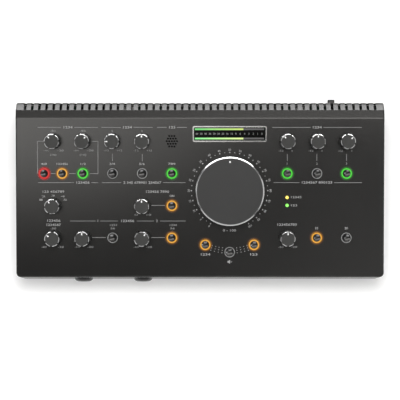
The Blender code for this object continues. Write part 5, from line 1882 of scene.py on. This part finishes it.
@dataclass
class KeyCard:
    """The key light over the object: a soft card, bright at the left and fading to the right and the front."""

    height: float = 1.6
    half_size: float = 0.65
    middle_y: float = -0.15
    colour: Colour = (1.0, 0.98, 0.945)
    least: float = 0.04
    edge_start: float = -0.12
    edge_slope: float = 0.45
    key_across: Ease = Ease(-0.45, 0.33, 3.75, 0.0)
    key_front: Ease = Ease(-0.325, -0.195, 0.0, 1.0)
    key_rear: Ease = Ease(-0.02, 0.12, 1.0, 0.14)
    side_across: Ease = Ease(-0.25, 0.45, 0.0, 0.75)
    side_along: Ease = Ease(-0.42, -0.18, 1.0, 0.3)
    strip_y: float = 0.025
    strip_across: Ease = Ease(-0.40, 0.30, 1.2, 7.0)
    strip_along: Ease = Ease(0.05, 0.08, 1.0, 0.0)
    ledge_across: Ease = Ease(-0.40, 0.30, 0.25, 1.3)
    ledge_along: Ease = Ease(0.08, 0.16, 0.0, 1.0)

    def level(
        self, tree: bpy.types.NodeTree, x: bpy.types.NodeSocket, y: bpy.types.NodeSocket
    ) -> bpy.types.NodeSocket:
        """Adds up how bright the card is at a place.

        Args:
            tree: The card's shader tree.
            x: The place across.
            y: The place along.

        Returns:
            The brightness, where 1 is white.
        """
        past = math_node(tree, "MAXIMUM", math_node(tree, "SUBTRACT", x, self.edge_start), 0.0)
        edge = math_node(tree, "SUBTRACT", y, math_node(tree, "MULTIPLY", past, self.edge_slope))
        strip = math_node(tree, "ABSOLUTE", math_node(tree, "SUBTRACT", y, self.strip_y))
        total = self.least
        for factors in (
            ((self.key_across, x), (self.key_front, edge), (self.key_rear, y)),
            ((self.side_across, x), (self.side_along, y)),
            ((self.strip_across, x), (self.strip_along, strip)),
            ((self.ledge_across, x), (self.ledge_along, y)),
        ):
            product = 1.0
            for ease, value in factors:
                product = math_node(tree, "MULTIPLY", ease.add(tree, value), product)
            total = math_node(tree, "ADD", product, total)
        return total

    def build(self) -> None:
        """Hangs the card, facing down."""
        bm = bmesh.new()
        middle = Matrix.Translation((0, self.middle_y, self.height))
        bmesh.ops.create_grid(bm, x_segments=1, y_segments=1, size=self.half_size, matrix=middle)
        bmesh.ops.reverse_faces(bm, faces=bm.faces)
        material = bpy.data.materials.new("key_card")
        material.use_nodes = True
        tree = material.node_tree
        tree.nodes.clear()
        place, split = tree.nodes.new("ShaderNodeTexCoord"), tree.nodes.new("ShaderNodeSeparateXYZ")
        light, output = tree.nodes.new("ShaderNodeEmission"), tree.nodes.new("ShaderNodeOutputMaterial")
        light.inputs["Color"].default_value = (*self.colour, 1.0)
        feed(tree, split.inputs["Vector"], place.outputs["Object"])
        feed(tree, light.inputs["Strength"], self.level(tree, split.outputs["X"], split.outputs["Y"]))
        feed(tree, output.inputs["Surface"], light.outputs[0])
        mesh = to_mesh(bm, "key_card")
        mesh.materials.append(material)
        item = link(bpy.data.objects.new("key_card", mesh))
        item.visible_camera = item.visible_shadow = False


@dataclass
class Studio:
    """The floor, the surroundings, the lamps and the camera at the photograph's angle."""

    camera_place: tuple[float, float, float] = (-0.00005, -0.13063, 1.64449)
    camera_tilt: float = math.radians(4.3386)
    camera_reach: float = 20.0
    lens: float = 157.902
    sensor: float = 36.0
    floor_half: float = 5.0
    floor_colour: Colour = grey(0.82)
    floor_roughness: float = 0.9
    floor_glow: float = 0.26
    floor_sheen: float = 0.1
    sky: float = 0.4
    ring: tuple[Point, ...] = (
        (-180, 0.9), (-126, 0.9), (-120, 0.5), (-114, 0.95), (-64, 0.95), (-57, 0.35), (-48, 0.9), (0, 1.4), (50, 0.9),
        (55, 0.4), (61, 0.4), (64, 1.05), (114, 1.05), (120, 0.4), (146, 0.4), (150, 0.9), (180, 0.9),
    )
    ring_fade: Ease = Ease(0.32, 0.6, 1.0, 0.12)
    lamps: tuple[AreaLamp, ...] = (
        AreaLamp("top_soft", (0, 0.25, 1.6), (0, 0, 0), (0.5, 0.4), 20.0, Rays.DIFFUSE),
        AreaLamp("left_fill", (-1.5, -0.2, 1.0), (0, 0, 0), (1.0, 1.0), 0.6, Rays.DIFFUSE),
        AreaLamp("right_fill", (1.5, -0.2, 1.0), (0, 0, 0), (1.0, 1.0), 0.6, Rays.DIFFUSE),
        AreaLamp("front_fill", (0, -1.6, 0.8), (0, 0, 0), (1.4, 0.8), 0.6, Rays.DIFFUSE),
        AreaLamp("rear_strip", (0, 0.6, 0.09), (0, 0, 0.06), (1.2, 0.17), 7.5, Rays.GLOSSY),
        AreaLamp("right_strip", (0.52, -0.20, 1.0), (0, -0.02, 0.07), (0.30, 0.05), 13.0, Rays.GLOSSY),
        AreaLamp("front_box", (0, -0.64, 1.0), (0, -0.02, 0.07), (0.5, 0.22), 4.0, Rays.GLOSSY),
    )

    def floor(self) -> None:
        """Makes the pale floor, white to the camera but for the object's shadow."""
        bm = bmesh.new()
        bmesh.ops.create_grid(bm, x_segments=1, y_segments=1, size=self.floor_half)
        mesh = to_mesh(bm, "floor")
        material, shader = new_material("studio_floor")
        tree = material.node_tree
        path = tree.nodes.new("ShaderNodeLightPath").outputs
        sheen = math_node(tree, "MULTIPLY", path["Is Glossy Ray"], self.floor_sheen)
        glow = math_node(tree, "MULTIPLY_ADD", path["Is Camera Ray"], self.floor_glow, sheen)
        for label, value in {
            "Base Color": (*self.floor_colour, 1.0), "Roughness": self.floor_roughness, "Specular IOR Level": 0.0,
            "Emission Color": (1.0, 1.0, 1.0, 1.0), "Emission Strength": glow,
        }.items():
            feed(tree, shader.inputs[label], value)
        mesh.materials.append(material)
        link(bpy.data.objects.new("studio_floor", mesh))

    def world(self) -> None:
        """Makes the surroundings: white to the eye, plain to the object, and a ring of soft boxes in reflections."""
        world = bpy.data.worlds.new("studio")
        world.use_nodes = True
        bpy.context.scene.world = world
        tree = world.node_tree
        nodes, links = tree.nodes, tree.links
        nodes.clear()
        output, path = nodes.new("ShaderNodeOutputWorld"), nodes.new("ShaderNodeLightPath")
        plain, seen, white = (nodes.new("ShaderNodeBackground") for _ in range(3))
        plain.inputs["Color"].default_value = white.inputs["Color"].default_value = (1, 1, 1, 1)
        plain.inputs["Strength"].default_value = self.sky
        place, split = nodes.new("ShaderNodeTexCoord"), nodes.new("ShaderNodeSeparateXYZ")
        ring = nodes.new("ShaderNodeValToRGB")
        links.new(place.outputs["Generated"], split.inputs["Vector"])
        angle = math_node(tree, "ARCTAN2", split.outputs["X"], split.outputs["Y"])
        links.new(math_node(tree, "MULTIPLY_ADD", angle, 1 / FULL_TURN, 0.5), ring.inputs["Fac"])
        stops = ring.color_ramp.elements
        for _ in self.ring[2:]:
            stops.new(0.5)
        for stop, (heading, level) in zip(stops, self.ring):
            stop.position, stop.color = heading / 360 + 0.5, (level, level, level, 1)
        links.new(ring.outputs["Color"], seen.inputs["Color"])
        links.new(self.ring_fade.add(tree, split.outputs["Z"]), seen.inputs["Strength"])
        chosen = plain.outputs[0]
        for ray, other in (("Is Glossy Ray", seen), ("Is Camera Ray", white)):
            mix = nodes.new("ShaderNodeMixShader")
            links.new(path.outputs[ray], mix.inputs["Fac"])
            links.new(chosen, mix.inputs[1])
            links.new(other.outputs[0], mix.inputs[2])
            chosen = mix.outputs[0]
        links.new(chosen, output.inputs["Surface"])

    def camera(self) -> None:
        """Places the camera."""
        camera = bpy.data.cameras.new("camera")
        camera.lens, camera.sensor_width, camera.clip_end = self.lens, self.sensor, self.camera_reach
        item = link(bpy.data.objects.new("camera", camera))
        item.location, item.rotation_euler = self.camera_place, (self.camera_tilt, 0, 0)
        bpy.context.scene.camera = item
        bpy.context.scene.view_settings.view_transform = "Standard"

    def build(self) -> None:
        """Makes the floor, the surroundings, the lamps and the camera."""
        self.floor()
        self.world()
        KeyCard().build()
        for lamp in self.lamps:
            lamp.build()
        self.camera()


CARRIED_OVER: dict[str, Finish] = {
    "base_pan": ZINC, "rear_panel": PAINT, "main_board": BOARD, "control_board": BOARD, "meter_window": GLASS,
    "foot_front_left": RUBBER, "foot_front_right": RUBBER, "foot_rear_left": RUBBER, "foot_rear_right": RUBBER,
    "mic_1_socket": SOCKET_BLACK, "mic_2_socket": SOCKET_BLACK, "speaker_a_jacks": SOCKET_BLACK,
    "speaker_b_jacks": SOCKET_BLACK, "speaker_c_jacks": SOCKET_BLACK, "studio_out_jacks": SOCKET_BLACK,
    "two_track_1_jacks": SOCKET_BLACK, "two_track_2_jacks": SOCKET_BLACK, "usb_socket": NICKEL,
    "power_inlet": SOCKET_BLACK, "coax_socket": NICKEL, "optical_socket": SOCKET_BLACK,
    "talkback_microphone": CAPSULE, "power_button": BUTTON_CAP,
}


def dress_nodes() -> None:
    """Gives every node that is carried over its finish."""
    for name, finish in CARRIED_OVER.items():
        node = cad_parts[name]
        for holder in node.material_slots:
            holder.material = finish.material()
        LOG.info("%s: %s", name, finish.name)


def main() -> None:
    """Builds the studio and dresses the controller, sub-assembly by sub-assembly."""
    logging.basicConfig(level=logging.INFO, format="%(message)s")
    Studio().build()
    buttons, meter, phones = ButtonSet(), Meter(), PhonesSockets()
    Cover().build(buttons, meter, phones)
    SmallKnob().build()
    VolumeKnob().build()
    buttons.build()
    Lamps().build()
    meter.build()
    Printing().build()
    phones.build()
    dress_nodes()


if __name__ == "__main__":
    main()
